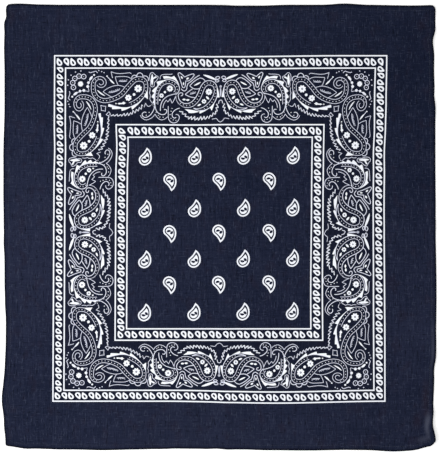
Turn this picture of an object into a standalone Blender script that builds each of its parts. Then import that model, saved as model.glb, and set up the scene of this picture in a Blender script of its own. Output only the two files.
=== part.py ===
"""A square cotton bandana laid out flat, with its four edges turned under and hemmed.

Run it with: blender --background --python part.py

Metres, +Z up. The cloth lies on the plane z = 0 with its printed face up. The origin is the
middle of its bounding box, on that plane; +X runs to the right edge and +Y to the top edge.

The cloth is first drawn as its cut pattern, a true rectangle, and then laid: the laying rounds
the corners, lets each edge run a little out of straight, and lifts the folds, the buckles and
the corners off the table. The panel and its hems go through the same laying, so they keep their
seams. The panel lies on the turned part of each hem and ends inside its upright edge.
"""

import math
from typing import NamedTuple

import bmesh
import bpy
from mathutils import Matrix, Vector

COLLECTION_NAME = "bandana"

# Driving dimensions of the cloth
CLOTH_WIDTH = 0.540
CLOTH_LENGTH = 0.557
WALL = 0.001
SEAM_GAP = 0.0003
HEM_DEPTH = 0.0075

# The panel comes down from its hems to the table over this run
RAMP_RUN = 0.0095

# Spacing of the mesh over the open cloth
CELL = 0.0145

# An edge that is out of straight draws the cloth with it this far in
SWELL_DEPTH = 0.060

# The hem's outer corners are softened by this much, and shading breaks at sharper edges than this
HEM_SOFTENING = 0.0004
SHARP_ANGLE = math.radians(35)

# Finish of the cloth
NAVY = (0.018, 0.024, 0.047, 1.0)
CLOTH_ROUGHNESS = 0.88

# Worked out from the sizes above
HALF_WIDTH = CLOTH_WIDTH / 2
HALF_LENGTH = CLOTH_LENGTH / 2
PANEL_INSET = WALL + SEAM_GAP
RAMP_START = HEM_DEPTH + SEAM_GAP
MITRE_SETBACK = SEAM_GAP / math.sqrt(2)


class Swell(NamedTuple):
    """A stretch of one edge that bulges out of straight, or runs in where out is negative."""

    side: str
    at: float
    reach: float
    out: float


class Ridge(NamedTuple):
    """A soft ridge of lifted cloth along a line from one point of the pattern to another."""

    name: str
    x0: float
    y0: float
    x1: float
    y1: float
    height: float
    reach: float


class Corner(NamedTuple):
    """A corner of the cloth: its side of the middle, how round it is and how far it lifts."""

    x_side: int
    y_side: int
    radius: float
    lift: float
    reach: float


SWELLS = (
    #     side      at      reach   out
    Swell("left", 0.2785, 0.024, -0.0024),
    Swell("left", 0.224, 0.030, 0.0006),
    Swell("left", 0.050, 0.110, 0.0015),
    Swell("left", -0.128, 0.060, -0.0020),
    Swell("left", -0.216, 0.034, 0.0035),
    Swell("left", -0.2785, 0.030, -0.0016),
    Swell("right", 0.231, 0.015, -0.0016),
    Swell("right", 0.200, 0.056, -0.0013),
    Swell("right", -0.085, 0.115, 0.0014),
    Swell("right", -0.184, 0.022, -0.0011),
    Swell("right", -0.216, 0.040, -0.0023),
    Swell("right", -0.242, 0.030, -0.0016),
    Swell("top", -0.252, 0.028, 0.0014),
    Swell("top", 0.036, 0.055, -0.0012),
    Swell("top", 0.157, 0.030, 0.0015),
    Swell("top", 0.240, 0.060, -0.0009),
    Swell("bottom", -0.270, 0.030, -0.0047),
    Swell("bottom", -0.232, 0.034, -0.0010),
    Swell("bottom", -0.146, 0.040, 0.0009),
    Swell("bottom", -0.050, 0.060, -0.0014),
    Swell("bottom", 0.105, 0.085, 0.0013),
    Swell("bottom", 0.218, 0.045, 0.0025),
    Swell("bottom", 0.275, 0.034, -0.0065),
    Swell("bottom", 0.274, 0.010, -0.0055),
)

# The two packing folds cross the whole cloth, so their lines run past its edges
PAST = 0.300
FOLD_REACH = 0.016
FOLD_X = 0.006
FOLD_Y = 0.002

RIDGES = (
    #      name                x0      y0      x1      y1     height   reach
    Ridge("lengthwise_fold", FOLD_X, -PAST, FOLD_X, PAST, 0.0012, FOLD_REACH),
    Ridge("crosswise_fold", -PAST, FOLD_Y, PAST, FOLD_Y, 0.0010, FOLD_REACH),
    Ridge("right_pinch", 0.272, 0.238, 0.226, 0.230, 0.0026, 0.021),
    Ridge("right_buckle", 0.272, 0.150, 0.238, 0.146, 0.0016, 0.022),
    Ridge("right_low_buckle", 0.272, -0.164, 0.234, -0.170, 0.0016, 0.022),
    Ridge("left_buckle", -0.272, -0.130, -0.230, -0.124, 0.0020, 0.026),
    Ridge("top_buckle", 0.036, 0.280, 0.031, 0.246, 0.0018, 0.022),
    Ridge("bottom_buckle", -0.044, -0.280, -0.040, -0.242, 0.0018, 0.022),
    Ridge("curled_edge", 0.270, -0.280, 0.270, -0.236, 0.0032, 0.016),
)

CORNERS = (
    #      x   y  radius   lift   reach
    Corner(-1, 1, 0.0050, 0.0016, 0.028),
    Corner(1, 1, 0.0045, 0.0012, 0.024),
    Corner(-1, -1, 0.0025, 0.0022, 0.030),
    Corner(1, -1, 0.0010, 0.0016, 0.034),
)

# Distances in from an edge at which the mesh has a line, from the panel's own edge inwards; a hem
# is drawn in towards its mitre over the first few of them
EDGE_STATIONS = (PANEL_INSET, 0.0045, RAMP_START, 0.011, 0.014, RAMP_START + RAMP_RUN)
MITRE_STATIONS = 4


def fade(share):
    """Returns 1 at 0, falling smoothly to 0 at a share of 1 or more, and the same on both sides."""
    share = min(abs(share), 1.0)
    return (1 - share) ** 2 * (1 + 2 * share)


def swell_out(side, along):
    """Returns how far the named edge stands out of straight at a place along it."""
    return sum(s.out * fade((along - s.at) / s.reach) for s in SWELLS if s.side == side)


def round_corner(x, y):
    """Draws the square corner of the pattern in to its radius, as a square is drawn in to a disc."""
    for corner in CORNERS:
        across = (x * corner.x_side - HALF_WIDTH) / corner.radius + 1
        along = (y * corner.y_side - HALF_LENGTH) / corner.radius + 1
        if across > 0 and along > 0:
            x += corner.x_side * corner.radius * across * (math.sqrt(1 - along * along / 2) - 1)
            y += corner.y_side * corner.radius * along * (math.sqrt(1 - across * across / 2) - 1)
    return x, y


def ridge_height(ridge, x, y):
    """Returns the height of one ridge at a point of the pattern, from its distance to the line."""
    start = Vector((ridge.x0, ridge.y0))
    run = Vector((ridge.x1, ridge.y1)) - start
    offset = Vector((x, y)) - start
    share = max(0.0, min(1.0, offset.dot(run) / run.length_squared))
    return ridge.height * fade((offset - run * share).length / ridge.reach)


def corner_height(corner, x, y):
    """Returns how far a lifted corner raises a point of the pattern."""
    reach = math.hypot(x - corner.x_side * HALF_WIDTH, y - corner.y_side * HALF_LENGTH)
    return corner.lift * fade(reach / corner.reach)


def lift(x, y):
    """Returns the height of the cloth off the table at a point of the pattern."""
    ridges = sum(ridge_height(ridge, x, y) for ridge in RIDGES)
    corners = sum(corner_height(corner, x, y) for corner in CORNERS)
    return ridges + corners


def lay(x, y, z):
    """Takes a point of the cut pattern to its place on the table."""
    height = z + lift(x, y)
    laid_x, laid_y = round_corner(x, y)
    laid_x += swell_out("right", y) * fade((HALF_WIDTH - x) / SWELL_DEPTH)
    laid_x -= swell_out("left", y) * fade((HALF_WIDTH + x) / SWELL_DEPTH)
    laid_y += swell_out("top", x) * fade((HALF_LENGTH - y) / SWELL_DEPTH)
    laid_y -= swell_out("bottom", x) * fade((HALF_LENGTH + y) / SWELL_DEPTH)
    return Vector((laid_x, laid_y, height))


def clear_of_hem(inset):
    """Returns 0 over a hem, rising smoothly to 1 at the foot of the ramp, for a distance inwards."""
    return 1 - fade(max(0.0, inset - RAMP_START) / RAMP_RUN)


def over_hem(inset_x, inset_y):
    """Returns the height of the panel's underside, for its distances in from the nearest edges."""
    return (WALL + SEAM_GAP) * (1 - clear_of_hem(inset_x) * clear_of_hem(inset_y))


def stretch(start, end):
    """Returns even places from start to end, both kept, about CELL apart."""
    steps = math.ceil((end - start) / CELL)
    return [start + (end - start) * i / steps for i in range(steps + 1)]


def mesh_lines(half, fold):
    """Returns the places of the mesh's lines across the cloth: close at the edges and over the fold."""
    left = [-half + inset for inset in EDGE_STATIONS]
    right = [half - inset for inset in reversed(EDGE_STATIONS)]
    before = stretch(left[-1], fold - FOLD_REACH)
    after = stretch(fold + FOLD_REACH, right[0])
    crest = [fold - FOLD_REACH / 2, fold, fold + FOLD_REACH / 2]
    return left[:-1] + before + crest + after + right[1:]


def cloth_material():
    """Returns the navy cotton's material."""
    material = bpy.data.materials.new("navy_cotton")
    material.use_nodes = True
    shader = material.node_tree.nodes["Principled BSDF"]
    shader.inputs["Base Color"].default_value = NAVY
    shader.inputs["Roughness"].default_value = CLOTH_ROUGHNESS
    shader.inputs["Metallic"].default_value = 0.0
    return material


def add_object(name, bm, collection, material):
    """Makes an object of a bmesh, with its material, and puts it in the collection."""
    mesh = bpy.data.meshes.new(name)
    bm.to_mesh(mesh)
    bm.free()
    mesh.materials.append(material)
    mesh.shade_smooth()
    mesh.set_sharp_from_angle(angle=SHARP_ANGLE)
    obj = bpy.data.objects.new(name, mesh)
    collection.objects.link(obj)
    return obj


def build_panel(collection, material):
    """Builds the square of cotton: a grid on its underside, laid, with its wall on top."""
    columns = mesh_lines(HALF_WIDTH, FOLD_X)
    rows = mesh_lines(HALF_LENGTH, FOLD_Y)
    bm = bmesh.new()
    bmesh.ops.create_grid(bm, x_segments=len(columns) - 1, y_segments=len(rows) - 1, size=1.0)
    for vert in bm.verts:
        column = round((vert.co.x + 1) / 2 * (len(columns) - 1))
        row = round((vert.co.y + 1) / 2 * (len(rows) - 1))
        x, y = columns[column], rows[row]
        vert.co = lay(x, y, over_hem(HALF_WIDTH - abs(x), HALF_LENGTH - abs(y)))
    bmesh.ops.reverse_faces(bm, faces=bm.faces)
    panel = add_object("panel", bm, collection, material)
    wall = panel.modifiers.new("wall", "SOLIDIFY")
    wall.thickness = WALL
    wall.offset = -1.0
    wall.use_even_offset = True
    return panel


def hem_section():
    """Returns the hem's section: turned under the panel, then up past the panel's edge.

    Each point is its distance in from the cloth's edge and its height.
    """
    top = 2 * WALL + SEAM_GAP
    return (
        (HEM_SOFTENING, 0.0),
        (HEM_DEPTH, 0.0),
        (HEM_DEPTH, WALL),
        (WALL, WALL),
        (WALL, top),
        (HEM_SOFTENING, top),
        (0.0, top - HEM_SOFTENING),
        (0.0, HEM_SOFTENING),
    )


def hem_place(along, inset, half, lines):
    """Returns a hem point's place along its edge, drawn in towards the mitre near a corner.

    Args:
        along: number of the mesh line, from one corner to the other.
        inset: the point's distance in from the cloth's edge.
        half: half the length of the edge.
        lines: places of the panel's mesh lines along the edge.
    """
    last = len(lines) - 1
    from_corner = min(along, last - along)
    side = -1 if along < last / 2 else 1
    if from_corner >= MITRE_STATIONS - 1:
        return lines[along]
    full = half - abs(lines[MITRE_STATIONS - 1])
    share = (full - (half - abs(lines[along]))) / (full - PANEL_INSET)
    reach = full - inset - MITRE_SETBACK
    return side * (half - full + share * reach)


def build_hem(name, side, collection, material):
    """Builds one hem: its section, carried along the edge line by line, mitred and laid."""
    lengthwise = side in ("left", "right")
    half = HALF_LENGTH if lengthwise else HALF_WIDTH
    edge = HALF_WIDTH if lengthwise else HALF_LENGTH
    outward = 1 if side in ("right", "top") else -1
    lines = mesh_lines(half, FOLD_Y if lengthwise else FOLD_X)
    section = hem_section()

    bm = bmesh.new()
    front = bm.faces.new([bm.verts.new((0.0, inset, height)) for inset, height in section])
    for number in range(1, len(lines)):
        behind = front
        moved = bmesh.ops.extrude_face_region(bm, geom=[behind])["geom"]
        front = next(item for item in moved if isinstance(item, bmesh.types.BMFace))
        if number > 1:
            bmesh.ops.delete(bm, geom=[behind], context="FACES_ONLY")
        for vert in front.verts:
            vert.co.x = number
    for vert in bm.verts:
        number, inset, height = vert.co
        along = hem_place(round(number), inset, half, lines)
        across = outward * (edge - inset)
        vert.co = lay(across, along, height) if lengthwise else lay(along, across, height)
    caps = [face for face in bm.faces if len(face.verts) == len(section)]
    bmesh.ops.triangulate(bm, faces=caps)
    bmesh.ops.recalc_face_normals(bm, faces=bm.faces)
    return add_object(name, bm, collection, material)


def centre_over_origin(objects):
    """Moves the meshes so that the middle of the cloth's bounding box is over the origin."""
    points = [vert.co for obj in objects for vert in obj.data.vertices]
    middle_x = (min(p.x for p in points) + max(p.x for p in points)) / 2
    middle_y = (min(p.y for p in points) + max(p.y for p in points)) / 2
    shift = Matrix.Translation((-middle_x, -middle_y, 0.0))
    for obj in objects:
        obj.data.transform(shift)


def main():
    """Clears the scene and builds the panel and its four hems."""
    for obj in list(bpy.data.objects):
        bpy.data.objects.remove(obj, do_unlink=True)
    collection = bpy.data.collections.new(COLLECTION_NAME)
    bpy.context.scene.collection.children.link(collection)
    material = cloth_material()
    pieces = [build_panel(collection, material)]
    for side in ("top", "bottom", "left", "right"):
        pieces.append(build_hem("hem_" + side, side, collection, material))
    centre_over_origin(pieces)


main()
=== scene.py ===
"""Looks of a navy cotton bandana with a white paisley print, laid flat on a pale table.

Metres, +Z up. The cloth is first drawn as its cut pattern, a true rectangle, and then laid. The
laying rounds the corners, lets each edge run a little out of straight, and lifts the folds and
buckles off the table. The panel, its rolled edges, its stitching and its print all go through
the same laying.

The print is drawn in millimetres from the middle of the cloth. The border is charted once, for
half of one side, and repeated on the eight half sides. Each mark of ink is a thin film over the
cloth.
"""

import logging
import math
from dataclasses import dataclass, field
from enum import Enum

import bpy
import numpy as np
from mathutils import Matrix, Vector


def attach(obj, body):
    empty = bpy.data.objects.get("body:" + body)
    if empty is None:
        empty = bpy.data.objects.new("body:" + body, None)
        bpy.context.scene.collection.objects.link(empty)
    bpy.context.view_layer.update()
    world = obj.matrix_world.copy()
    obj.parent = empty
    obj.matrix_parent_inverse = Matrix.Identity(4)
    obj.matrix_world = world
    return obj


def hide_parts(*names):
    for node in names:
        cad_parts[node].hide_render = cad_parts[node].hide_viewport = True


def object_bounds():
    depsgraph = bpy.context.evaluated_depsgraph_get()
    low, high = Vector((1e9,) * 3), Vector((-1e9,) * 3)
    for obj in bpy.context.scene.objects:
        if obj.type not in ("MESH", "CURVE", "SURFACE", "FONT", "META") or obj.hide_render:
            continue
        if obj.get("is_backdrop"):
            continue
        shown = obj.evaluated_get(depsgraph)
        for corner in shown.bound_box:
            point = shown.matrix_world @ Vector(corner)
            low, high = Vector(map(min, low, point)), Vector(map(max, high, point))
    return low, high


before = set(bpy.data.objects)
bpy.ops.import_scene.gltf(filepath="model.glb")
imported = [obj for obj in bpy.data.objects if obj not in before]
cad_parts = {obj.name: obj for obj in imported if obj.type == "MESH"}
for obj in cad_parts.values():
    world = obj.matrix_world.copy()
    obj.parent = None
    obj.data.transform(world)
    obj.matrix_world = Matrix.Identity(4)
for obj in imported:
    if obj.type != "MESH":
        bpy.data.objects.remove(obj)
BOUNDS_AT_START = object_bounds()

LOG = logging.getLogger("bandana")
MM = 0.001

# How much larger than the cloth the flat map for baking is
MAP_MARGIN = 0.012

# Distance of the stitching from the cloth's edge
STITCH_INSET = 0.0062

Points = np.ndarray
Faces = np.ndarray

# A place, and an arc: the place where it ends and its turn in degrees
Knot = tuple[float, float]
Arc = tuple[float, float, float]


# ---------------------------------------------------------------- the laid cloth


class Edge(Enum):
    """An edge of the cloth, as the direction out of the cloth across it."""

    TOP = (0, 1)
    BOTTOM = (0, -1)
    LEFT = (-1, 0)
    RIGHT = (1, 0)

    @property
    def outward(self) -> int:
        """Returns 1 where the edge faces +X or +Y, and -1 where it faces -X or -Y."""
        return self.value[0] + self.value[1]

    @property
    def lengthwise(self) -> bool:
        """Returns whether the edge runs along Y."""
        return self.value[0] != 0


@dataclass(frozen=True)
class Swell:
    """A stretch of an edge that bulges out of straight, or runs in where out is negative.

    Attributes:
        at: place of its middle along the edge.
        reach: how far it runs to either side of that.
        out: how far it stands out of straight.
    """

    at: float
    reach: float
    out: float


@dataclass(frozen=True)
class Ridge:
    """A soft ridge along a line of the pattern, with its height and its reach to either side."""

    x0: float
    y0: float
    x1: float
    y1: float
    height: float
    reach: float


@dataclass(frozen=True)
class Corner:
    """A corner of the cloth: its side of the middle, how round it is and how far it lifts."""

    x_side: int
    y_side: int
    radius: float
    lift: float
    reach: float


@dataclass(frozen=True)
class Tug:
    """A place where the printed cloth is drawn aside, fading out over its reach in x and in y."""

    x: float
    y: float
    reach_x: float
    reach_y: float
    pull_x: float
    pull_y: float


@dataclass(frozen=True)
class ColourPatch:
    """A soft patch where the cloth's colour or its painted highlight changes, or changes the other
    way if the strength is negative.
    """

    x: float
    y: float
    reach_x: float
    reach_y: float
    strength: float


def fade(share: Points) -> Points:
    """Returns 1 at 0, falling smoothly to 0 at a share of 1 or more, and the same on both sides."""
    share = np.minimum(np.abs(share), 1.0)
    return (1 - share) ** 2 * (1 + 2 * share)


# The tables of the cloth's form, its colour and its painted highlight are in millimetres from the
# middle of the cloth

# Where each edge runs out of straight
SWELLS = {
    Edge.LEFT: (
        Swell(278.5, 24, -2.4), Swell(264, 8, -1.4), Swell(253, 9, 0.6), Swell(224, 30, 0.6),
        Swell(105, 45, 0.5), Swell(50, 110, 1.5), Swell(-20, 18, 0.7), Swell(-100, 16, 0.4),
        Swell(-128, 60, -2), Swell(-189, 16, 0.5), Swell(-216, 34, 3.5), Swell(-250, 20, 0.8),
        Swell(-278.5, 30, -1.6),
    ),
    Edge.RIGHT: (
        Swell(236.5, 13, -2.1), Swell(228, 14, -1.6), Swell(200, 56, -1.6), Swell(164, 14, -0.9),
        Swell(30, 40, 0.4), Swell(-85, 115, 1.4), Swell(-145, 18, 0.5), Swell(-158, 12, 0.3),
        Swell(-177, 14, -0.9), Swell(-184, 22, -0.9), Swell(-216, 40, -2.3),
        Swell(-242, 30, -1.6), Swell(-256, 25, -2.6),
    ),
    Edge.TOP: (
        Swell(-252, 28, 1.4), Swell(-225, 25, 0.4), Swell(36, 55, -1.4), Swell(157, 30, 1.5),
        Swell(240, 60, -0.9),
    ),
    Edge.BOTTOM: (
        Swell(-270, 30, -4.7), Swell(-232, 34, -1), Swell(-146, 40, 0.9), Swell(-70, 18, 0.4),
        Swell(-50, 60, -1.4), Swell(-3, 16, -0.9), Swell(55, 22, 0.4), Swell(105, 85, 1.3),
        Swell(176, 24, 0.6), Swell(218, 45, 2.5), Swell(275, 34, -6.5), Swell(274, 11, -6.6),
    ),
}

# The two packing folds cross the whole cloth, so their lines run past its edges
PAST = 300

# The folds, then the buckles and pinches along the edges
RIDGES = (
    Ridge(6, -PAST, 6, PAST, 1.2, 16),
    Ridge(-PAST, 2, PAST, 2, 1, 16),
    Ridge(272, 238, 226, 230, 2.6, 21),
    Ridge(272, 150, 238, 146, 1.6, 22),
    Ridge(272, -164, 234, -170, 1.6, 22),
    Ridge(-272, -130, -230, -124, 2, 26),
    Ridge(36, 280, 31, 246, 1.8, 22),
    Ridge(-44, -280, -40, -242, 1.8, 22),
    Ridge(270, -280, 270, -236, 3.2, 16),
)

# Small creases and puckers of the open cloth
CREASES = (
    Ridge(-262, 236, -214, 252, 0.5, 12),
    Ridge(-266, 90, -228, 70, 0.4, 13),
    Ridge(-262, -30, -232, -52, 0.5, 14),
    Ridge(-250, -236, -206, -262, 0.6, 12),
    Ridge(266, 60, 224, 78, 0.5, 14),
    Ridge(206, 154, 246, 104, 1.2, 13),
    Ridge(262, -62, 226, -44, 0.4, 13),
    Ridge(-150, 272, -138, 234, 0.5, 13),
    Ridge(150, 270, 166, 236, 0.5, 14),
    Ridge(-146, -270, -158, -236, 0.4, 13),
    Ridge(118, -272, 104, -238, 0.6, 14),
    Ridge(-90, 92, 64, 138, 0.3, 20),
    Ridge(-112, -52, 30, -118, 0.3, 22),
    Ridge(40, 60, 128, -64, 0.3, 20),
)

# How round each corner is, how far it lifts and over what reach
CORNERS = (
    Corner(-1, 1, 4.2, 1.6, 28),
    Corner(1, 1, 6, 1.2, 24),
    Corner(-1, -1, 2.5, 2.2, 30),
    Corner(1, -1, 1, 1.6, 34),
)

# Places where the print lies off its even rectangle
TUGS = (
    Tug(207, 30, 150, 190, -2.4, 0),
    Tug(207, 94, 90, 30, -0.7, 0),
    Tug(4, 216, 150, 90, 0, -1.3),
    Tug(70, -220, 140, 80, 0, -2.4),
    Tug(-128, 100, 50, 30, 1, 0),
    Tug(-208, 96, 60, 34, 0.6, 0),
    Tug(122, -90, 50, 120, -1.2, 0),
    Tug(190, 170, 22, 60, -0.9, 0),
    Tug(202, -130, 36, 120, -0.6, 0),
    Tug(190, -130, 14, 110, -0.5, 0),
    Tug(-40, 123, 60, 14, 0, -0.6),
)

# Places where the cloth's colour is paler, or deeper: paler to the left, the bottom and the lower
# right, deeper to the upper right
TONE_PATCHES = (
    ColourPatch(-250, -20, 300, 210, 0.5),
    ColourPatch(-20, -250, 250, 130, 0.3),
    ColourPatch(250, -130, 130, 180, 0.22),
    ColourPatch(260, 190, 210, 200, -0.45),
    ColourPatch(260, 30, 120, 120, -0.1),
)

# How pale the cloth's colour is away from these
PALE_BASE = 0.42

# Places where the nap of a lifted edge catches the light: a painted highlight in the cloth's colour
PAINTED_SHEEN = (
    ColourPatch(262.6, -251, 4.6, 26, 0.9),
    ColourPatch(265, -243, 3.2, 12, 0.6),
    ColourPatch(256, -268, 11, 6, 0.45),
    ColourPatch(266.2, -150, 3, 50, 0.5),
)

# Places where the dye is warmer
WARM_DYE = (
    ColourPatch(260, -216, 8, 36, 0.95),
    ColourPatch(250, -243, 11, 18, 0.7),
    ColourPatch(-262, 262, 7, 16, 0.55),
    ColourPatch(252, 254, 8, 12, 0.6),
    ColourPatch(-110, 80, 40, 40, 0.35),
    ColourPatch(20, 100, 60, 30, 0.3),
)


@dataclass
class ClothForm:
    """The form that the cloth takes on the table, as functions of a place on its pattern.

    Attributes:
        width: the pattern's size along X.
        length: the pattern's size along Y.
        wall: thickness of one layer of the cotton.
        rest: height of the cloth's underside over the table where it lies flat.
        hem_depth: how far each edge is turned under.
        ramp_run: the run over which the panel comes down from its hems to the table.
        swell_depth: how far in an edge that is out of straight draws the cloth with it.
        skew: how far the print leans out of square, as a slope.
        ripple_height: height of the cloth's faint waves.
        rim_dark: how dark the painted shade at the very edge of the cloth is, where the rolled edge
            turns away from the light, in the cloth's own attribute.
        rim_reach: how far in that painted shade runs.
        shift: how far the laid cloth is moved to put the middle of its box over the origin.
    """

    # Number of places along each edge that the laid cloth's box is found from
    EDGE_SAMPLES = 801

    width: float = 0.5408
    length: float = 0.5582
    wall: float = 0.0006
    rest: float = 0.0001
    hem_depth: float = 0.0075
    ramp_run: float = 0.0095
    swell_depth: float = 0.060
    skew: float = 0.0051
    ripple_height: float = 0.00009
    rim_dark: float = 2.4
    rim_reach: float = 0.0042
    shift: Points = field(init=False)

    def __post_init__(self) -> None:
        """Finds the shift that puts the middle of the laid cloth's box over the origin."""
        self.shift = np.zeros(3)
        along = np.linspace(-1, 1, self.EDGE_SAMPLES)
        ones = np.ones_like(along)
        x = np.concatenate([along, along, ones, -ones]) * self.width / 2
        y = np.concatenate([ones, -ones, along, along]) * self.length / 2
        edge = self.lay(x, y, np.zeros_like(x))
        self.shift[:2] = -(edge.min(axis=0) + edge.max(axis=0))[:2] / 2

    def swell_out(self, edge: Edge, along: Points) -> Points:
        """Returns how far an edge stands out of straight at places along it."""
        return MM * sum(s.out * fade((along / MM - s.at) / s.reach) for s in SWELLS[edge])

    def ridge_height(self, ridge: Ridge, x: Points, y: Points) -> Points:
        """Works out one ridge's height, faded with the distance to its line.

        Args:
            ridge: the ridge.
            x, y: places on the pattern, in millimetres.

        Returns:
            Its height there, in millimetres.
        """
        run = np.array([ridge.x1 - ridge.x0, ridge.y1 - ridge.y0])
        along = ((x - ridge.x0) * run[0] + (y - ridge.y0) * run[1]) / run.dot(run)
        along = np.clip(along, 0.0, 1.0)
        off = np.hypot(x - ridge.x0 - run[0] * along, y - ridge.y0 - run[1] * along)
        return ridge.height * fade(off / ridge.reach)

    def ripple(self, x: Points, y: Points) -> Points:
        """Works out the cloth's faint waviness: three crossed sine waves, never below the table.

        Args:
            x, y: places on the pattern.

        Returns:
            The height of the waves there.
        """
        wave = np.sin(x * 71 + 1.3 * np.sin(y * 23)) * np.cos(y * 58 + 0.9 * np.sin(x * 31))
        wave = wave + 0.6 * np.sin(x * 34 - y * 47 + 0.8) + 0.4 * np.sin(x * 96 + y * 88)
        return self.ripple_height * (wave + 2.0)

    def lift(self, x: Points, y: Points) -> Points:
        """Works out how high the cloth's underside stands off the table.

        Args:
            x, y: places on the pattern.

        Returns:
            Its height there.
        """
        height = self.ripple(x, y)
        for ridge in RIDGES + CREASES:
            height = height + MM * self.ridge_height(ridge, x / MM, y / MM)
        for corner in CORNERS:
            off = np.hypot(
                x - corner.x_side * self.width / 2, y - corner.y_side * self.length / 2
            )
            height = height + MM * corner.lift * fade(off / MM / corner.reach)
        return height + self.rest

    def round_corners(self, x: Points, y: Points) -> tuple[Points, Points]:
        """Draws each square corner in to its radius, as a square is drawn in to a disc.

        Args:
            x, y: places on the pattern.

        Returns:
            Their new x and y.
        """
        for corner in CORNERS:
            radius = corner.radius * MM
            across = (x * corner.x_side - self.width / 2) / radius + 1
            along = (y * corner.y_side - self.length / 2) / radius + 1
            inside = (across > 0) & (along > 0)
            across = np.clip(across, 0.0, 1.0)
            along = np.clip(along, 0.0, 1.0)
            move_x = radius * across * (np.sqrt(1 - along**2 / 2) - 1)
            move_y = radius * along * (np.sqrt(1 - across**2 / 2) - 1)
            x = x + np.where(inside, corner.x_side * move_x, 0.0)
            y = y + np.where(inside, corner.y_side * move_y, 0.0)
        return x, y

    def lay(self, x: Points, y: Points, z: Points) -> Points:
        """Takes places on the pattern to the table.

        Args:
            x: places across the pattern.
            y: places along the pattern.
            z: heights over the cloth's resting underside.

        Returns:
            An array of laid points, one row each.
        """
        half_x, half_y = self.width / 2, self.length / 2
        height = z + self.lift(x, y)
        laid_x, laid_y = self.round_corners(x, y)
        depth = self.swell_depth
        laid_x = laid_x + self.swell_out(Edge.RIGHT, y) * fade((half_x - x) / depth)
        laid_x = laid_x - self.swell_out(Edge.LEFT, y) * fade((half_x + x) / depth)
        laid_y = laid_y + self.swell_out(Edge.TOP, x) * fade((half_y - y) / depth)
        laid_y = laid_y - self.swell_out(Edge.BOTTOM, x) * fade((half_y + y) / depth)
        return np.stack([laid_x, laid_y, height], axis=-1) + self.shift

    def over_hem(self, x: Points, y: Points) -> Points:
        """Works out the rise of the panel over its turned edges, easing down to the open cloth.

        Args:
            x, y: places on the pattern.

        Returns:
            The rise there.
        """
        clear = 1.0
        for inset in (self.width / 2 - np.abs(x), self.length / 2 - np.abs(y)):
            past = np.maximum(0.0, inset - self.hem_depth) / self.ramp_run
            clear = clear * (1 - fade(past))
        return self.wall * (1 - clear)

    def inset(self, x: Points, y: Points) -> Points:
        """Returns the distance from places on the pattern to its nearest edge."""
        return np.minimum(self.width / 2 - np.abs(x), self.length / 2 - np.abs(y))

    def rim(self, x: Points, y: Points) -> Points:
        """Returns the painted shade at the cloth's very edge, where the rolled edge turns away from
        the light, which eases to 0 just inside it.
        """
        return self.rim_dark * fade(np.maximum(0.0, self.inset(x, y)) / self.rim_reach)

    def dye(self, patches: tuple[ColourPatch, ...], base: float, x: Points, y: Points) -> Points:
        """Works out a value from a base and its soft patches, from 0 to 1: how pale or warm the
        cloth's colour is, and how strong its painted highlight is.

        Args:
            patches: the patches.
            base: the value away from them.
            x, y: places on the pattern.

        Returns:
            The value there.
        """
        total = np.full_like(x, base)
        x, y = x / MM, y / MM
        for patch in patches:
            off = np.hypot((x - patch.x) / patch.reach_x, (y - patch.y) / patch.reach_y)
            total = total + patch.strength * fade(off)
        return np.clip(total, 0.0, 1.0)

    def print_to_pattern(self, x: Points, y: Points) -> tuple[Points, Points]:
        """Takes places of the print to the pattern: leans them, then tugs them.

        Args:
            x, y: places of the print, in millimetres.

        Returns:
            Their x and y on the pattern.
        """
        move_x = self.skew * y
        move_y = np.zeros_like(y)
        for tug in TUGS:
            near = fade(np.hypot((x - tug.x) / tug.reach_x, (y - tug.y) / tug.reach_y))
            move_x = move_x + tug.pull_x * near
            move_y = move_y + tug.pull_y * near
        return (x + move_x) * MM, (y + move_y) * MM


# ---------------------------------------------------------------- meshes


def grid_faces(rows: int, columns: int, closed: bool = False) -> Faces:
    """Returns the quads of a grid of points, joined from its last row to its first if closed.

    Args:
        rows: number of rows of points.
        columns: number of points in a row.
        closed: whether the last row joins the first.

    Returns:
        An array of quads, four point numbers each.
    """
    index = np.arange(rows * columns).reshape(rows, columns)
    if closed:
        index = np.concatenate([index, index[:1]])
    corners = (index[:-1, :-1], index[1:, :-1], index[1:, 1:], index[:-1, 1:])
    return np.stack(corners, axis=-1).reshape(-1, 4)


def face_up(points: Points, faces: Faces) -> Faces:
    """Turns over the faces that wind clockwise seen from above, by the sign of their area.

    Args:
        points: the mesh's points.
        faces: its faces.

    Returns:
        The faces, all facing up.
    """
    x = points[faces, 0]
    y = points[faces, 1]
    area = (x * np.roll(y, -1, axis=1) - y * np.roll(x, -1, axis=1)).sum(axis=1)
    return np.where(area[:, None] < 0, faces[:, ::-1], faces)


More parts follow.
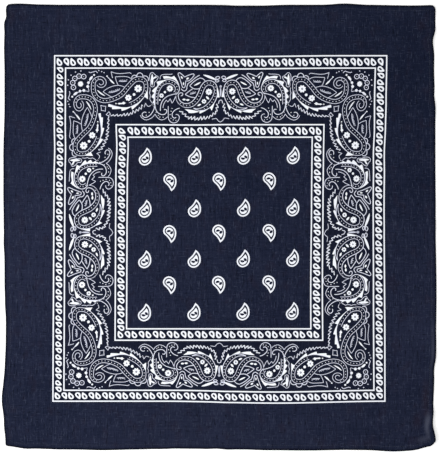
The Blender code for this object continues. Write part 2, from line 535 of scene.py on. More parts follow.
@dataclass
class Draft:
    """A mesh being drafted: its points, its faces by their number of sides, and its threads.

    Attributes:
        points: laid points, one row each.
        faces: arrays of faces, each with its own number of sides.
        threads: each point's place on the cut pattern in metres, which the weave follows.
        values: the piece's own attributes, one number for each point.
    """

    points: Points
    faces: list[Faces]
    threads: Points
    values: dict[str, Points] = field(default_factory=dict)

    def build(self, name: str, form: ClothForm) -> bpy.types.Object:
        """Makes the object, with one map along the threads and one flat map over the cloth.

        Args:
            name: the piece's name.
            form: the laid form.

        Returns:
            The object.
        """
        mesh = bpy.data.meshes.new(name)
        mesh.vertices.add(len(self.points))
        mesh.vertices.foreach_set("co", self.points.astype(np.float32).ravel())
        loops = np.concatenate([f.ravel() for f in self.faces])
        sides = np.concatenate([np.full(len(f), f.shape[1]) for f in self.faces])
        starts = np.concatenate([[0], np.cumsum(sides)[:-1]])
        mesh.loops.add(len(loops))
        mesh.loops.foreach_set("vertex_index", loops.astype(np.int32))
        mesh.polygons.add(len(sides))
        mesh.polygons.foreach_set("loop_start", starts.astype(np.int32))
        mesh.polygons.foreach_set("use_smooth", np.ones(len(sides), dtype=bool))
        mesh.update(calc_edges=True)
        mesh.validate()
        size = np.array([form.width, form.length]) + MAP_MARGIN
        flat = self.points[:, :2] / size + 0.5
        for label, places in (("OFBake", flat), ("threads", self.threads)):
            layer = mesh.uv_layers.new(name=label)
            layer.uv.foreach_set("vector", places[loops].astype(np.float32).ravel())
        mesh.uv_layers["OFBake"].active = True
        x, y = self.threads[:, 0], self.threads[:, 1]
        pale = form.dye(TONE_PATCHES, PALE_BASE, x, y)
        # The lit patches are a painted highlight, where a lifted edge catches the light
        warm, lit = (form.dye(patches, 0.0, x, y) for patches in (WARM_DYE, PAINTED_SHEEN))
        # form.rim gives painted shade at the cloth's very edge
        values = {"pale": pale, "warm": warm, "lit": lit, "ground": form.rim(x, y)}
        values = {**values, **self.values}
        for label, value in values.items():
            layer = mesh.attributes.new(label, "FLOAT", "POINT")
            layer.data.foreach_set("value", value.astype(np.float32))
        obj = bpy.data.objects.new(name, mesh)
        bpy.context.scene.collection.objects.link(obj)
        return obj


# ---------------------------------------------------------------- finishes


class Signal:
    """A number carried between shader nodes, which takes part in plain arithmetic."""

    def __init__(self, sheet: "NodeSheet", socket: bpy.types.NodeSocket) -> None:
        """Wraps an output socket of the sheet's nodes."""
        self.sheet = sheet
        self.socket = socket

    def _math(self, operation: str, *values: "Signal | float") -> "Signal":
        """Returns the result of one Math node."""
        node = self.sheet.node("ShaderNodeMath", {"operation": operation}, dict(enumerate(values)))
        return Signal(self.sheet, node.outputs[0])

    def __add__(self, other: "Signal | float") -> "Signal":
        """Returns self + other."""
        return self._math("ADD", self, other)

    def __sub__(self, other: "Signal | float") -> "Signal":
        """Returns self - other."""
        return self._math("SUBTRACT", self, other)

    def __rsub__(self, other: float) -> "Signal":
        """Returns other - self."""
        return self._math("SUBTRACT", other, self)

    def __mul__(self, other: "Signal | float") -> "Signal":
        """Returns self * other."""
        return self._math("MULTIPLY", self, other)

    def __truediv__(self, other: "Signal | float") -> "Signal":
        """Returns self / other."""
        return self._math("DIVIDE", self, other)

    def __mod__(self, other: "Signal | float") -> "Signal":
        """Returns self modulo other."""
        return self._math("FLOORED_MODULO", self, other)

    # A sum or a product is the same either way round
    __radd__ = __add__
    __rmul__ = __mul__

    def floor(self) -> "Signal":
        """Returns the whole number at or below the signal."""
        return self._math("FLOOR", self)

    def sine(self) -> "Signal":
        """Returns the sine of the signal, in radians."""
        return self._math("SINE", self)

    def clamp(self) -> "Signal":
        """Returns the signal held between 0 and 1."""
        return self._math("MAXIMUM", self._math("MINIMUM", self, 1.0), 0.0)

    def step(self, low: float, high: float) -> "Signal":
        """Steps from 0 below low to 1 above high, smooth between them.

        Args:
            low, high: ends of the step.

        Returns:
            The stepped signal.
        """
        inputs = {"Value": self, "From Min": low, "From Max": high}
        settings = {"interpolation_type": "SMOOTHSTEP"}
        node = self.sheet.node("ShaderNodeMapRange", settings, inputs)
        return Signal(self.sheet, node.outputs["Result"])


Colour = tuple[float, float, float]


@dataclass(frozen=True)
class Grain:
    """Noise over the cloth.

    Attributes:
        across: size of its lumps across, in millimetres.
        along: their size along.
        seed: which noise it is.
        share: how strongly it shows.
        ends: values between which it comes in, where it is stepped.
    """

    across: float
    along: float
    seed: float
    share: float
    ends: tuple[float, float] = (0.0, 1.0)


class NodeSheet:
    """The node tree of one material, and the ways that the finishes add nodes to it."""

    def __init__(self, name: str) -> None:
        """Makes the material and keeps its Principled shader at hand.

        Args:
            name: the material's name.
        """
        self.material = bpy.data.materials.new(name)
        self.material.use_nodes = True
        self.tree = self.material.node_tree
        self.shader = self.tree.nodes["Principled BSDF"]

    def node(self, kind: str, settings: dict, inputs: dict) -> bpy.types.Node:
        """Adds a node.

        Args:
            kind: the node's type.
            settings: its own settings, by name.
            inputs: values, signals or sockets for its inputs, by name or number.

        Returns:
            The new node.
        """
        node = self.tree.nodes.new(kind)
        for key, value in settings.items():
            setattr(node, key, value)
        for key, value in inputs.items():
            self.feed(node.inputs[key], value)
        return node

    def feed(self, socket: bpy.types.NodeSocket, value: object) -> None:
        """Links a signal or a socket to an input, or sets the input to a plain value.

        Args:
            socket: the input.
            value: the signal, the socket or the plain value.
        """
        if isinstance(value, Signal):
            value = value.socket
        if isinstance(value, bpy.types.NodeSocket):
            self.tree.links.new(value, socket)
        elif isinstance(value, tuple) and len(socket.default_value) == 4:
            socket.default_value = (*value, 1.0)
        else:
            socket.default_value = value

    def mix(self, factor: Signal, low: object, high: object) -> bpy.types.NodeSocket:
        """Returns the colour between low and high."""
        node = self.node("ShaderNodeMix", {"data_type": "RGBA"}, {0: factor, 6: low, 7: high})
        return node.outputs[2]

    def threads(self) -> tuple[Signal, Signal]:
        """Finds the place on the cut pattern, in millimetres.

        Returns:
            The place across, and the place along.
        """
        places = self.node("ShaderNodeUVMap", {"uv_map": "threads"}, {})
        split = self.node("ShaderNodeSeparateXYZ", {}, {0: places.outputs["UV"]})
        across = Signal(self, split.outputs["X"]) * 1000.0
        return across, Signal(self, split.outputs["Y"]) * 1000.0

    def attribute(self, name: str) -> Signal:
        """Returns one of the piece's own attributes."""
        node = self.node("ShaderNodeAttribute", {"attribute_name": name}, {})
        return Signal(self, node.outputs["Fac"])

    def noise(self, x: Signal, y: Signal, grain: Grain) -> Signal:
        """Makes noise between 0 and 1.

        Args:
            x, y: the place on the pattern, in millimetres.
            grain: its lumps.

        Returns:
            The noise.
        """
        inputs = {"X": x / grain.across, "Y": y / grain.along, "Z": grain.seed}
        place = self.node("ShaderNodeCombineXYZ", {}, inputs)
        inputs = {"Vector": place.outputs[0], "Scale": 1.0, "Detail": 2.0}
        node = self.node("ShaderNodeTexNoise", {}, inputs)
        return Signal(self, node.outputs[0])

    def bump(self, height: Signal, distance: float, strength: float) -> None:
        """Puts a bump on the shader.

        Args:
            height: its height.
            distance: depth of a height of 1, in metres.
            strength: how strongly it shows.
        """
        inputs = {"Height": height, "Distance": distance, "Strength": strength}
        node = self.node("ShaderNodeBump", {}, inputs)
        self.feed(self.shader.inputs["Normal"], node.outputs[0])

    def finish(
        self, colour: object, roughness: object, specular: float, sheen: float = 0.0
    ) -> None:
        """Sets the shader's main inputs.

        Args:
            colour: the colour, plain or from a node.
            roughness: the roughness, likewise.
            specular: strength of the shine.
            sheen: strength of the sheen.
        """
        inputs = self.shader.inputs
        self.feed(inputs["Base Color"], colour)
        self.feed(inputs["Roughness"], roughness)
        inputs["Specular IOR Level"].default_value = specular
        inputs["Sheen Weight"].default_value = sheen
        inputs["Sheen Roughness"].default_value = 0.6


@dataclass(frozen=True)
class Weave:
    """A plain weave: each thread goes over one crossing thread and under the next.

    Attributes:
        pitch: distance between threads, in millimetres.
        flat: height of a thread between its crowns, as a share of theirs.
    """

    pitch: float = 0.42
    flat: float = 0.55

    def height(self, x: Signal, y: Signal) -> Signal:
        """Works out the weave's height: a chequer of warp and weft arches, half a sine each.

        Args:
            x, y: the place on the pattern, in millimetres.

        Returns:
            The height, from 0 to 1.
        """
        u = x / self.pitch
        v = y / self.pitch
        warp_up = (u.floor() + v.floor()) % 2.0
        arch_u = ((u % 1.0) * math.pi).sine()
        arch_v = ((v % 1.0) * math.pi).sine()
        warp = arch_u * (self.flat + (1.0 - self.flat) * arch_v)
        weft = arch_v * (self.flat + (1.0 - self.flat) * arch_u)
        return warp_up * warp + (1.0 - warp_up) * weft


@dataclass(frozen=True)
class DyedCotton:
    """Navy cotton: piece-dyed, with slubs of thicker yarn and a faint unevenness of its colour.

    Attributes:
        name: the material's name.
        deep: the dye at its deepest.
        pale: the dye at its palest.
        slub: thicker yarn.
        lit: painted highlight, the nap of a lifted edge in the light.
        dark: thin yarn, the painted shade in the gaps between threads and at the cloth's very edge,
            and the darker ground under the border.
        warm: dye with a warm cast.
        clouds: large patches of the dye.
        streaks: long paler streaks, upright and level.
        blush: patches with a warm cast.
        slubs: thicker stretches of yarn, upright and level.
        gaps: thinner stretches of yarn, upright and level.
        weave_shade: how dark the painted shade in the gaps between threads is.
        ground_shade: how much darker the cloth is under the border, and how dark the painted shade
            at its very edge is.
        slub_rise: height of a slub, as a share of the weave's.
    """

    name: str = "navy_cotton"
    deep: Colour = (0.0070, 0.0104, 0.0268)
    pale: Colour = (0.0176, 0.0218, 0.0478)
    slub: Colour = (0.0385, 0.0465, 0.0820)
    lit: Colour = (0.0470, 0.0520, 0.0800)
    dark: Colour = (0.0020, 0.0030, 0.0080)
    warm: Colour = (0.0160, 0.0125, 0.0250)
    clouds: Grain = Grain(26.0, 34.0, 1.7, 0.7)
    streaks: tuple[Grain, Grain] = (Grain(1.5, 38.0, 4.1, 1.6), Grain(42.0, 1.6, 8.3, 1.1))
    blush: Grain = Grain(15.0, 20.0, 12.9, 0.35, (0.52, 0.70))
    slubs: tuple[Grain, Grain] = (
        Grain(1.0, 7.5, 21.5, 0.9, (0.58, 0.74)),
        Grain(7.5, 1.0, 33.2, 0.9, (0.60, 0.76)),
    )
    gaps: tuple[Grain, Grain] = (
        Grain(1.1, 9.0, 51.5, 0.8, (0.58, 0.74)),
        Grain(9.0, 1.1, 63.2, 0.8, (0.60, 0.76)),
    )
    weave_shade: float = 0.45
    ground_shade: float = 0.42
    slub_rise: float = 0.8

    def yarns(
        self, sheet: NodeSheet, x: Signal, y: Signal, grains: tuple[Grain, Grain]
    ) -> Signal:
        """Returns where upright and level yarns stand out: two noises, each cut off softly."""
        upright, level = (sheet.noise(x, y, grain).step(*grain.ends) for grain in grains)
        return (upright + level).clamp() * grains[0].share

    def build(self) -> bpy.types.Material:
        """Makes the material: patches of tone, then slubs along both threads, then the weave with
        painted shade in its gaps, a painted highlight and painted shade at the edge.

        Returns:
            The material.
        """
        sheet = NodeSheet(self.name)
        x, y = sheet.threads()
        tone = sheet.attribute("pale")
        for grain in (self.clouds, *self.streaks):
            tone = tone + (sheet.noise(x, y, grain) - 0.5) * grain.share
        colour = sheet.mix(tone.clamp(), self.deep, self.pale)
        warmth = sheet.noise(x, y, self.blush).step(*self.blush.ends) * self.blush.share
        warmth = (warmth + sheet.attribute("warm")).clamp()
        colour = sheet.mix(warmth, colour, self.warm)
        slubs = self.yarns(sheet, x, y, self.slubs)
        colour = sheet.mix(slubs, colour, self.slub)
        colour = sheet.mix(self.yarns(sheet, x, y, self.gaps), colour, self.dark)
        weave = Weave().height(x, y)
        # Painted shade in the gaps between threads
        colour = sheet.mix((1.0 - weave) * self.weave_shade, colour, self.dark)
        # Painted highlight where a lifted edge catches the light
        colour = sheet.mix(sheet.attribute("lit"), colour, self.lit)
        # Darker ground under the border, and painted shade at the cloth's very edge
        colour = sheet.mix(sheet.attribute("ground") * self.ground_shade, colour, self.dark)
        sheet.finish(colour, roughness=0.92, specular=0.05)
        sheet.bump(weave + slubs * self.slub_rise, distance=0.00012, strength=0.6)
        return sheet.material


@dataclass(frozen=True)
class WhiteInk:
    """White discharge ink, which leaves the weave showing and lies a little thin in places.

    Attributes:
        name: the material's name.
        white: the ink at its fullest.
        thin: worn ink, and the ink of fine lines.
        bare: ink that has hardly taken.
        worn: patches where the ink is worn.
        weave_shade: how far it darkens to its thin colour in the gaps between threads, a painted
            shade there.
    """

    name: str = "white_print"
    white: Colour = (0.80, 0.825, 0.87)
    thin: Colour = (0.60, 0.62, 0.74)
    bare: Colour = (0.15, 0.16, 0.21)
    worn: Grain = Grain(3.0, 3.6, 5.5, 0.4, (0.52, 0.80))
    weave_shade: float = 0.18

    def build(self) -> bpy.types.Material:
        """Makes the material: a mottled white over the weave, thinner in fine lines, with painted
        shade in the weave's gaps.

        Returns:
            The material.
        """
        sheet = NodeSheet(self.name)
        x, y = sheet.threads()
        sparse = sheet.attribute("sparse")
        worn = sheet.noise(x, y, self.worn).step(*self.worn.ends) * self.worn.share
        colour = sheet.mix((worn + sparse).clamp(), self.white, self.thin)
        weave = Weave().height(x, y)
        # Painted shade in the gaps between threads
        colour = sheet.mix((1.0 - weave) * self.weave_shade, colour, self.thin)
        colour = sheet.mix((sparse - 1.0).clamp(), colour, self.bare)
        sheet.finish(colour, roughness=0.85, specular=0.2)
        sheet.bump(weave, distance=0.0001, strength=0.45)
        return sheet.material


@dataclass(frozen=True)
class SewingThread:
    """Navy sewing thread, a little brighter than the cloth, with its twist showing in stripes of
    painted light and shade.
    """

    name: str = "navy_thread"
    navy: Colour = (0.014, 0.018, 0.034)
    lit: Colour = (0.028, 0.036, 0.062)
    twist: float = 14.0

    def build(self) -> bpy.types.Material:
        """Makes the material: fine slanted stripes of painted light and shade along the twist.

        Returns:
            The material.
        """
        sheet = NodeSheet(self.name)
        x, y = sheet.threads()
        # Painted light and shade: lit crests and navy hollows of the twist
        stripe = ((x + y) * self.twist).sine() * 0.5 + 0.5
        colour = sheet.mix(stripe, self.navy, self.lit)
        sheet.finish(colour, roughness=0.6, specular=0.3, sheen=0.05)
        sheet.bump(stripe, distance=0.00006, strength=0.5)
        return sheet.material


@dataclass(frozen=True)
class TableTop:
    """A plain pale table top."""

    name: str = "table_top"
    colour: Colour = (0.94, 0.94, 0.935)
    glow: float = 0.16

    def build(self) -> bpy.types.Material:
        """Makes the material, one even colour with a faint glow of its own.

        Returns:
            The material.
        """
        sheet = NodeSheet(self.name)
        sheet.finish(self.colour, roughness=0.9, specular=0.1)
        sheet.feed(sheet.shader.inputs["Emission Color"], self.colour)
        sheet.feed(sheet.shader.inputs["Emission Strength"], self.glow)
        return sheet.material


# ---------------------------------------------------------------- the cloth's own pieces


@dataclass
class CottonPanel:
    """The square of cotton, from the inside of one rolled edge to the inside of the other.

    Attributes:
        form: the laid form.
        inset: how far the panel ends inside the cloth's edge.
        cell: spacing of the mesh over the open cloth.
        dent: how far the stitching draws the cloth down.
        dent_reach: how far that groove spreads to either side.
        edge_steps: distances between the mesh's lines along the edges, in millimetres.
    """

    form: ClothForm
    inset: float = 0.0013
    cell: float = 0.0028
    dent: float = 0.00016
    dent_reach: float = 0.0016
    edge_steps: tuple[float, ...] = (0.9, 1.0, 1.1, 0.9, 0.7, 0.7, 0.8, 1.2, 1.6, 2.0, 2.2, 2.4)

    def lines(self, half: float) -> Points:
        """Sets out the mesh lines, close at the edges and even between them.

        Args:
            half: half the cloth's size across the lines.

        Returns:
            Their places.
        """
        near = half - self.inset - np.concatenate([[0.0], np.cumsum(self.edge_steps)]) * MM
        steps = round(2 * near[-1] / self.cell)
        middle = np.linspace(-near[-1], near[-1], steps + 1)
        return np.concatenate([-near[:-1], middle, near[:-1][::-1]])

    def build(self) -> bpy.types.Object:
        """Makes the panel: a grid on its upper face, made solid.

        Its height is the rise over the hem, and the wall, less a soft groove under the stitching.

        Returns:
            The panel.
        """
        form = self.form
        x, y = np.meshgrid(self.lines(form.width / 2), self.lines(form.length / 2))
        rows, columns = x.shape
        x, y = x.ravel(), y.ravel()
        groove = self.dent * fade((form.inset(x, y) - STITCH_INSET) / self.dent_reach)
        points = form.lay(x, y, form.over_hem(x, y) + form.wall - groove)
        faces = face_up(points, grid_faces(rows, columns))
        # Darker ground under the border, plus painted shade at the very edge from form.rim
        ground = OUTER_LINE.cover(x, y) - INNER_INSIDE.cover(x, y) + form.rim(x, y)
        draft = Draft(points, [faces], np.stack([x, y], axis=-1), {"ground": ground})
        obj = draft.build("cotton_panel", form)
        wall = obj.modifiers.new("wall", "SOLIDIFY")
        wall.thickness = form.wall
        wall.offset = -1.0
        return obj


@dataclass
class RolledEdge:
    """One edge of the cloth: turned under the panel, round, and up to meet the panel's edge.

    Attributes:
        form: the laid form.
        edge: which edge of the cloth it is.
        station: spacing of the section along the edge.
        proud: how far the roll stands outside the two layers that it joins.
        roll: thickness of the cloth in the roll, as a share of the wall.
        flange: thickness of the cloth turned under, as a share of the wall.
        bend: distance from the edge at which the roll starts.
        lip: distance from the edge at which it ends on the panel.
        lip_rise: how far it stands over the panel there.
        turn_points: number of points round the roll.
        flange_points: number of points along the cloth turned under.
        mitre: how much shorter each end is than a true mitre.
    """

    form: ClothForm
    edge: Edge
    station: float = 0.0022
    proud: float = 0.00002
    roll: float = 0.8
    flange: float = 0.85
    bend: float = 0.0016
    lip: float = 0.00125
    lip_rise: float = 0.00001
    turn_points: int = 13
    flange_points: int = 5
    mitre: float = 0.00015

    def section(self) -> Points:
        """Draws the closed section, outside and back inside.

        The roll is two half circles about one middle. The flange is flat under the panel.

        Returns:
            Its points: inset from the edge, and height.
        """
        wall = self.form.wall
        top = 2 * wall
        radius = wall + self.proud
        turn = np.linspace(-math.pi / 2, math.pi / 2, self.turn_points)
        outside, inside = (
            np.stack([radius - r * np.cos(turn), wall + r * np.sin(turn)], -1)
            for r in (radius, radius - wall * self.roll)
        )
        flange = np.linspace(self.form.hem_depth, self.bend, self.flange_points)
        lower = np.stack([flange, np.zeros_like(flange)], -1)
        upper = np.stack([flange[::-1], np.full_like(flange, wall * self.flange)], -1)
        lip = np.array([[self.lip, top + self.lip_rise], [self.lip, top - wall * self.roll]])
        return np.concatenate([lower, outside, lip, inside[::-1], upper])

    def build(self) -> bpy.types.Object:
        """Makes the edge: the section carried along it, drawn in to a mitre at both ends.

        Returns:
            The edge.
        """
        form = self.form
        half = (form.length if self.edge.lengthwise else form.width) / 2
        reach = (form.width if self.edge.lengthwise else form.length) / 2
        section = self.section()
        count = round(2 * half / self.station) + 1
        share = np.linspace(-1, 1, count)
        inset = np.broadcast_to(section[:, 0], (count, len(section)))
        along = share[:, None] * (half - inset - self.mitre)
        across = self.edge.outward * (reach - inset)
        x, y = (across, along) if self.edge.lengthwise else (along, across)
        height = np.broadcast_to(section[:, 1], inset.shape)
        x, y = x.ravel(), y.ravel()
        points = form.lay(x, y, height.ravel())
        index = np.arange(count * len(section)).reshape(count, len(section))
        ring = np.concatenate([index, index[:, :1]], axis=1)
        faces = ring.ravel()[grid_faces(*ring.shape)]
        caps = np.stack([index[0], index[-1][::-1]])
        if self.edge in (Edge.TOP, Edge.LEFT):
            faces, caps = faces[:, ::-1], caps[:, ::-1]
        name = "rolled_edge_" + self.edge.name.lower()
        return Draft(points, [faces, caps], np.stack([x, y], axis=-1)).build(name, form)


@dataclass
class HemStitching:
    """The lockstitch that holds the hems: one short raised stitch after another.

    Attributes:
        form: the laid form.
        inset: distance of the stitching from the cloth's edge.
        pitch: distance from one stitch to the next.
        length: length of a stitch's visible thread.
        width: thickness of the thread.
        height: height of a stitch, as a share of the width.
        sunk: how deep the thread lies in the cloth.
        blunt: how near its rings come to its points.
        rings: number of rings of points along a stitch.
        sides: number of points over it in each ring.
    """

    form: ClothForm
    inset: float = STITCH_INSET
    pitch: float = 0.0027
    length: float = 0.0021
    width: float = 0.00040
    height: float = 0.6
    sunk: float = 0.00014
    blunt: float = 0.94
    rings: int = 6
    sides: int = 5

    def build(self) -> bpy.types.Object:
        """Makes every stitch at once.

        A stitch is half of a long ellipsoid: along = length/2 * sin(a), across = width/2 *
        cos(a) * cos(b), up = width * height * cos(a) * sin(b), for a from point to point and b
        over 0 to 180 degrees.

        Returns:
            The stitching.
        """
        form = self.form
        point = math.pi / 2 * self.blunt
        a = np.linspace(-point, point, self.rings)[:, None]
        b = np.linspace(0, math.pi, self.sides)[None, :]
        along = (np.sin(a) + 0 * b) * self.length / 2
        across = np.cos(a) * np.cos(b) * self.width / 2
        up = np.cos(a) * np.sin(b) * self.width * self.height
        starts, lengthwise = self.stations()
        spots = len(starts)
        along = np.broadcast_to(along.ravel(), (spots, along.size))
        across = np.broadcast_to(across.ravel(), (spots, across.size))
        turned = lengthwise[:, None]
        x = starts[:, :1] + np.where(turned, across, along)
        y = starts[:, 1:] + np.where(turned, along, across)
        up = np.broadcast_to(up.ravel(), (spots, up.size))
        x, y, up = x.ravel(), y.ravel(), up.ravel()
        base = form.over_hem(x, y) + form.wall - self.sunk
        points = form.lay(x, y, base + up)
        one = grid_faces(self.rings, self.sides)
        first = self.rings * self.sides * np.arange(spots)
        faces = face_up(points, (one[None] + first[:, None, None]).reshape(-1, 4))
        return Draft(points, [faces], np.stack([x, y], axis=-1)).build("hem_stitching", form)

    def stations(self) -> tuple[Points, Points]:
        """Sets out the stitches along the four edges.

        Returns:
            The middle of every stitch, and whether it runs lengthwise.
        """
        spots = []
        turned = []
        for edge in Edge:
            half = (self.form.length if edge.lengthwise else self.form.width) / 2 - self.inset
            reach = (self.form.width if edge.lengthwise else self.form.length) / 2 - self.inset
            count = int(2 * half / self.pitch)
            along = (np.arange(count) - (count - 1) / 2) * self.pitch
            across = np.full(count, edge.outward * reach)
            pair = (across, along) if edge.lengthwise else (along, across)
            spots.append(np.stack(pair, axis=-1))
            turned.append(np.full(count, edge.lengthwise))
        return np.concatenate(spots), np.concatenate(turned)


# ---------------------------------------------------------------- drawing with ink


def sideways(path: Points, closed: bool = False) -> Points:
    """Finds the unit vectors square to a path, on its left.

    Args:
        path: the path.
        closed: whether its end joins its start.

    Returns:
        A vector for each point.
    """
    if closed:
        along = np.roll(path, -1, axis=0) - np.roll(path, 1, axis=0)
    else:
        along = np.gradient(path, axis=0)
    along = along / np.maximum(np.hypot(*along.T)[:, None], 1e-9)
    return np.stack([-along[:, 1], along[:, 0]], axis=-1)


def drawn(start: Knot, *arcs: Arc, spacing: float = 0.7, count: int = 0) -> Points:
    """Returns a path drawn as a compass draws it, one arc after another.

    An arc that turns by t over the chord c reaches c exp(i t (u - 1) / 2) sin(u t / 2) / sin(t / 2)
    at the share u, in complex numbers, so it keeps one radius. No turn gives a straight line.

    Args:
        start: where the path starts.
        arcs: the end of each arc, and its turn in degrees from x towards y.
        spacing: distance between the points returned.
        count: number of steps in each arc, in place of the spacing.

    Returns:
        The path's points.
    """
    here = complex(*start)
    stretches = [np.array([here])]
    for x, y, turn in arcs:
        chord = complex(x, y) - here
        bend = math.radians(turn) / 2
        flat = np.sinc(bend / math.pi)
        steps = count or max(2, round(abs(chord) / flat / spacing))
        share = np.arange(1, steps + 1) / steps
        way = share * np.sinc(share * bend / math.pi) / flat
        stretches.append(here + chord * way * np.exp(1j * bend * (share - 1)))
        here = complex(x, y)
    path = np.concatenate(stretches)
    return np.stack([path.real, path.imag], axis=-1)


def paced(path: Points, at: Points) -> tuple[Points, Points]:
    """Finds places along a path.

    Args:
        path: the path.
        at: distances from its start.

    Returns:
        The places, and the directions square to the path there.
    """
    gone = np.concatenate([[0.0], np.cumsum(np.hypot(*np.diff(path, axis=0).T))])
    found = [
        np.stack([np.interp(at, gone, values[:, 0]), np.interp(at, gone, values[:, 1])], -1)
        for values in (path, sideways(path))
    ]
    return found[0], found[1]


def length(path: Points) -> float:
    """Returns the length of a path."""
    return float(np.hypot(*np.diff(path, axis=0).T).sum())


def rounded(knots: tuple[Knot, ...], count: int) -> Points:
    """Returns a smooth closed path through the knots, a Catmull-Rom curve, at an even spacing.

    Args:
        knots: the points that the path goes through.
        count: number of points returned.

    Returns:
        The path's points, without the first one again at its end.
    """
    run = np.array([knots[-1], *knots, *knots[:2]])
    a, b, c, d = (part[:, None] for part in (run[:-3], run[1:-2], run[2:-1], run[3:]))
    steps = 12
    t = np.linspace(0, 1, steps + 1)[None, :-1, None]
    curve = (2 * b + (c - a) * t + (2 * a - 5 * b + 4 * c - d) * t**2) / 2
    curve = curve + (3 * b - a - 3 * c + d) * t**3 / 2
    curve = np.concatenate([curve.reshape(-1, 2), run[-2:-1]])
    return paced(curve, np.linspace(0, length(curve), count + 1))[0][:-1]


def spokes(sides: int) -> Points:
    """Returns unit vectors all the way round, at even angles."""
    turn = np.arange(sides) * 2 * math.pi / sides
    return np.stack([np.cos(turn), np.sin(turn)], axis=-1)


@dataclass
class InkSheet:
    """A sheet of ink marks, drawn flat in print millimetres and then laid over the cloth.

    Attributes:
        name: the piece's name.
        form: the laid form of the cloth under the ink.
        base: height of the ink's face over the cloth.
        points, heights, sparse: places of the marks' points, their heights, how thin the ink is.
        faces: the marks' faces, by their number of sides.
        count, marks: number of points and of marks so far.
    """

    # Marks lie at one of these levels in turn, this far apart, so that no two coincide
    LEVELS = 8
    LEVEL_STEP = 0.000004

    # A mark narrower than this is drawn thinner, and over how much narrower, in millimetres
    FULL_WIDTH = 1.5
    THIN_SPAN = 0.7

    # Width of a brush stroke's points, in millimetres
    POINT_WIDTH = 0.15

    name: str
    form: ClothForm
    base: float = 0.00010
    points: list[Points] = field(default_factory=list)
    faces: dict[int, list[Faces]] = field(default_factory=dict)
    heights: list[Points] = field(default_factory=list)
    sparse: list[Points] = field(default_factory=list)
    count: int = 0
    marks: int = 0

    def add(
        self, points: Points, faces: Faces, width: float = math.inf, faint: float = 0.0
    ) -> None:
        """Adds one mark.

        Args:
            points: its points.
            faces: its faces, by its own point numbers.
            width: its width, wide unless given.
            faint: how much of the ink is missing, from 0 to 1.
        """
        level = self.base + (self.marks % self.LEVELS) * self.LEVEL_STEP
        self.points.append(points)
        self.heights.append(np.full(len(points), level))
        thin = min(1.0, max(0.0, (self.FULL_WIDTH - width) / self.THIN_SPAN))
        thin = 1 + faint if faint else thin
        self.sparse.append(np.full(len(points), thin))
        self.faces.setdefault(faces.shape[1], []).append(faces + self.count)
        self.count += len(points)
        self.marks += 1

    def ribbon(
        self, path: Points, width: object, closed: bool = False, faint: float = 0.0
    ) -> None:
        """Draws a line along a path.

        Args:
            path: the path.
            width: its width, one number or one for each point.
            closed: whether its end joins its start.
            faint: how much of the ink is missing.
        """
        off = sideways(path, closed) * np.broadcast_to(width, len(path))[:, None] / 2
        rows = np.stack([path + off, path - off], axis=1)
        faces = grid_faces(len(path), 2, closed)
        self.add(rows.reshape(-1, 2), faces, float(np.max(width)), faint)

    def taper(self, path: Points, width: float, faint: float = 0.0) -> None:
        """Draws a line that swells from a point to its full width and back, as sine ** 0.7."""
        swell = np.sin(math.pi * np.linspace(0, 1, len(path))) ** 0.7
        self.ribbon(path, self.POINT_WIDTH + width * swell, faint=faint)

    def dots(
        self, centres: Points, radius: float, sides: int = 8, faint: float = 0.0
    ) -> None:
        """Draws a row of equal small dots as one mark.

        Args:
            centres: their middles.
            radius: their radius.
            sides: how many sides each has.
            faint: how much of the ink is missing.
        """
        points = (centres[:, None] + spokes(sides)[None] * radius).reshape(-1, 2)
        faces = np.arange(len(centres) * sides).reshape(-1, sides)
        self.add(points, faces, 2 * radius, faint)

    def ring(self, centre: Points, radius: float, width: float) -> None:
        """Draws a round ring along its middle radius, with eighteen sides."""
        self.ribbon(spokes(18) * radius + centre, width, closed=True)

    def blossom(self, centre: object, radius: float, petals: int, eye: float) -> None:
        """Draws a round flower: a scalloped disc with a clear eye in its middle.

        Its rim is radius * (notch + (1 - notch) * |sin(half a petal's turn)| ** 0.7).

        Args:
            centre: its middle.
            radius: how far its petals reach.
            petals: how many there are.
            eye: radius of the eye.
        """
        notch = 0.68
        out = spokes(petals * 8)
        turn = np.arange(len(out)) * 2 * math.pi / len(out)
        rim = radius * (notch + (1 - notch) * np.abs(np.sin(turn * petals / 2)) ** 0.7)
        radii = np.stack([rim, rim * 0.55 + eye * 0.45, np.full_like(rim, eye)], axis=1)
        points = out[:, None] * radii[:, :, None] + centre
        self.add(points.reshape(-1, 2), grid_faces(len(out), 3, closed=True))

    def between(self, first: Points, second: Points) -> None:
        """Fills the space between two paths, joined point by point."""
        rows = np.stack([first, second], axis=1)
        self.add(rows.reshape(-1, 2), grid_faces(len(first), 2))

    def fill(self, outline: Points, centre: Points) -> None:
        """Fills a closed outline, in four rings that shrink on its centre.

        Args:
            outline: the outline.
            centre: the centre.
        """
        share = np.array([1.0, 0.66, 0.33, 0.01])[None, :, None]
        rows = centre * (1 - share) + outline[:, None] * share
        self.add(rows.reshape(-1, 2), grid_faces(len(outline), 4, closed=True))

    def build(self) -> bpy.types.Object:
        """Lays all the marks over the cloth and makes the piece.

        Returns:
            The piece.
        """
        flat = np.concatenate(self.points)
        x, y = self.form.print_to_pattern(flat[:, 0], flat[:, 1])
        rise = self.form.over_hem(x, y) + self.form.wall + np.concatenate(self.heights)
        points = self.form.lay(x, y, rise)
        faces = [face_up(points, np.concatenate(group)) for group in self.faces.values()]
        values = {"sparse": np.concatenate(self.sparse)}
        draft = Draft(points, faces, np.stack([x, y], axis=-1), values)
        return draft.build(self.name, self.form)


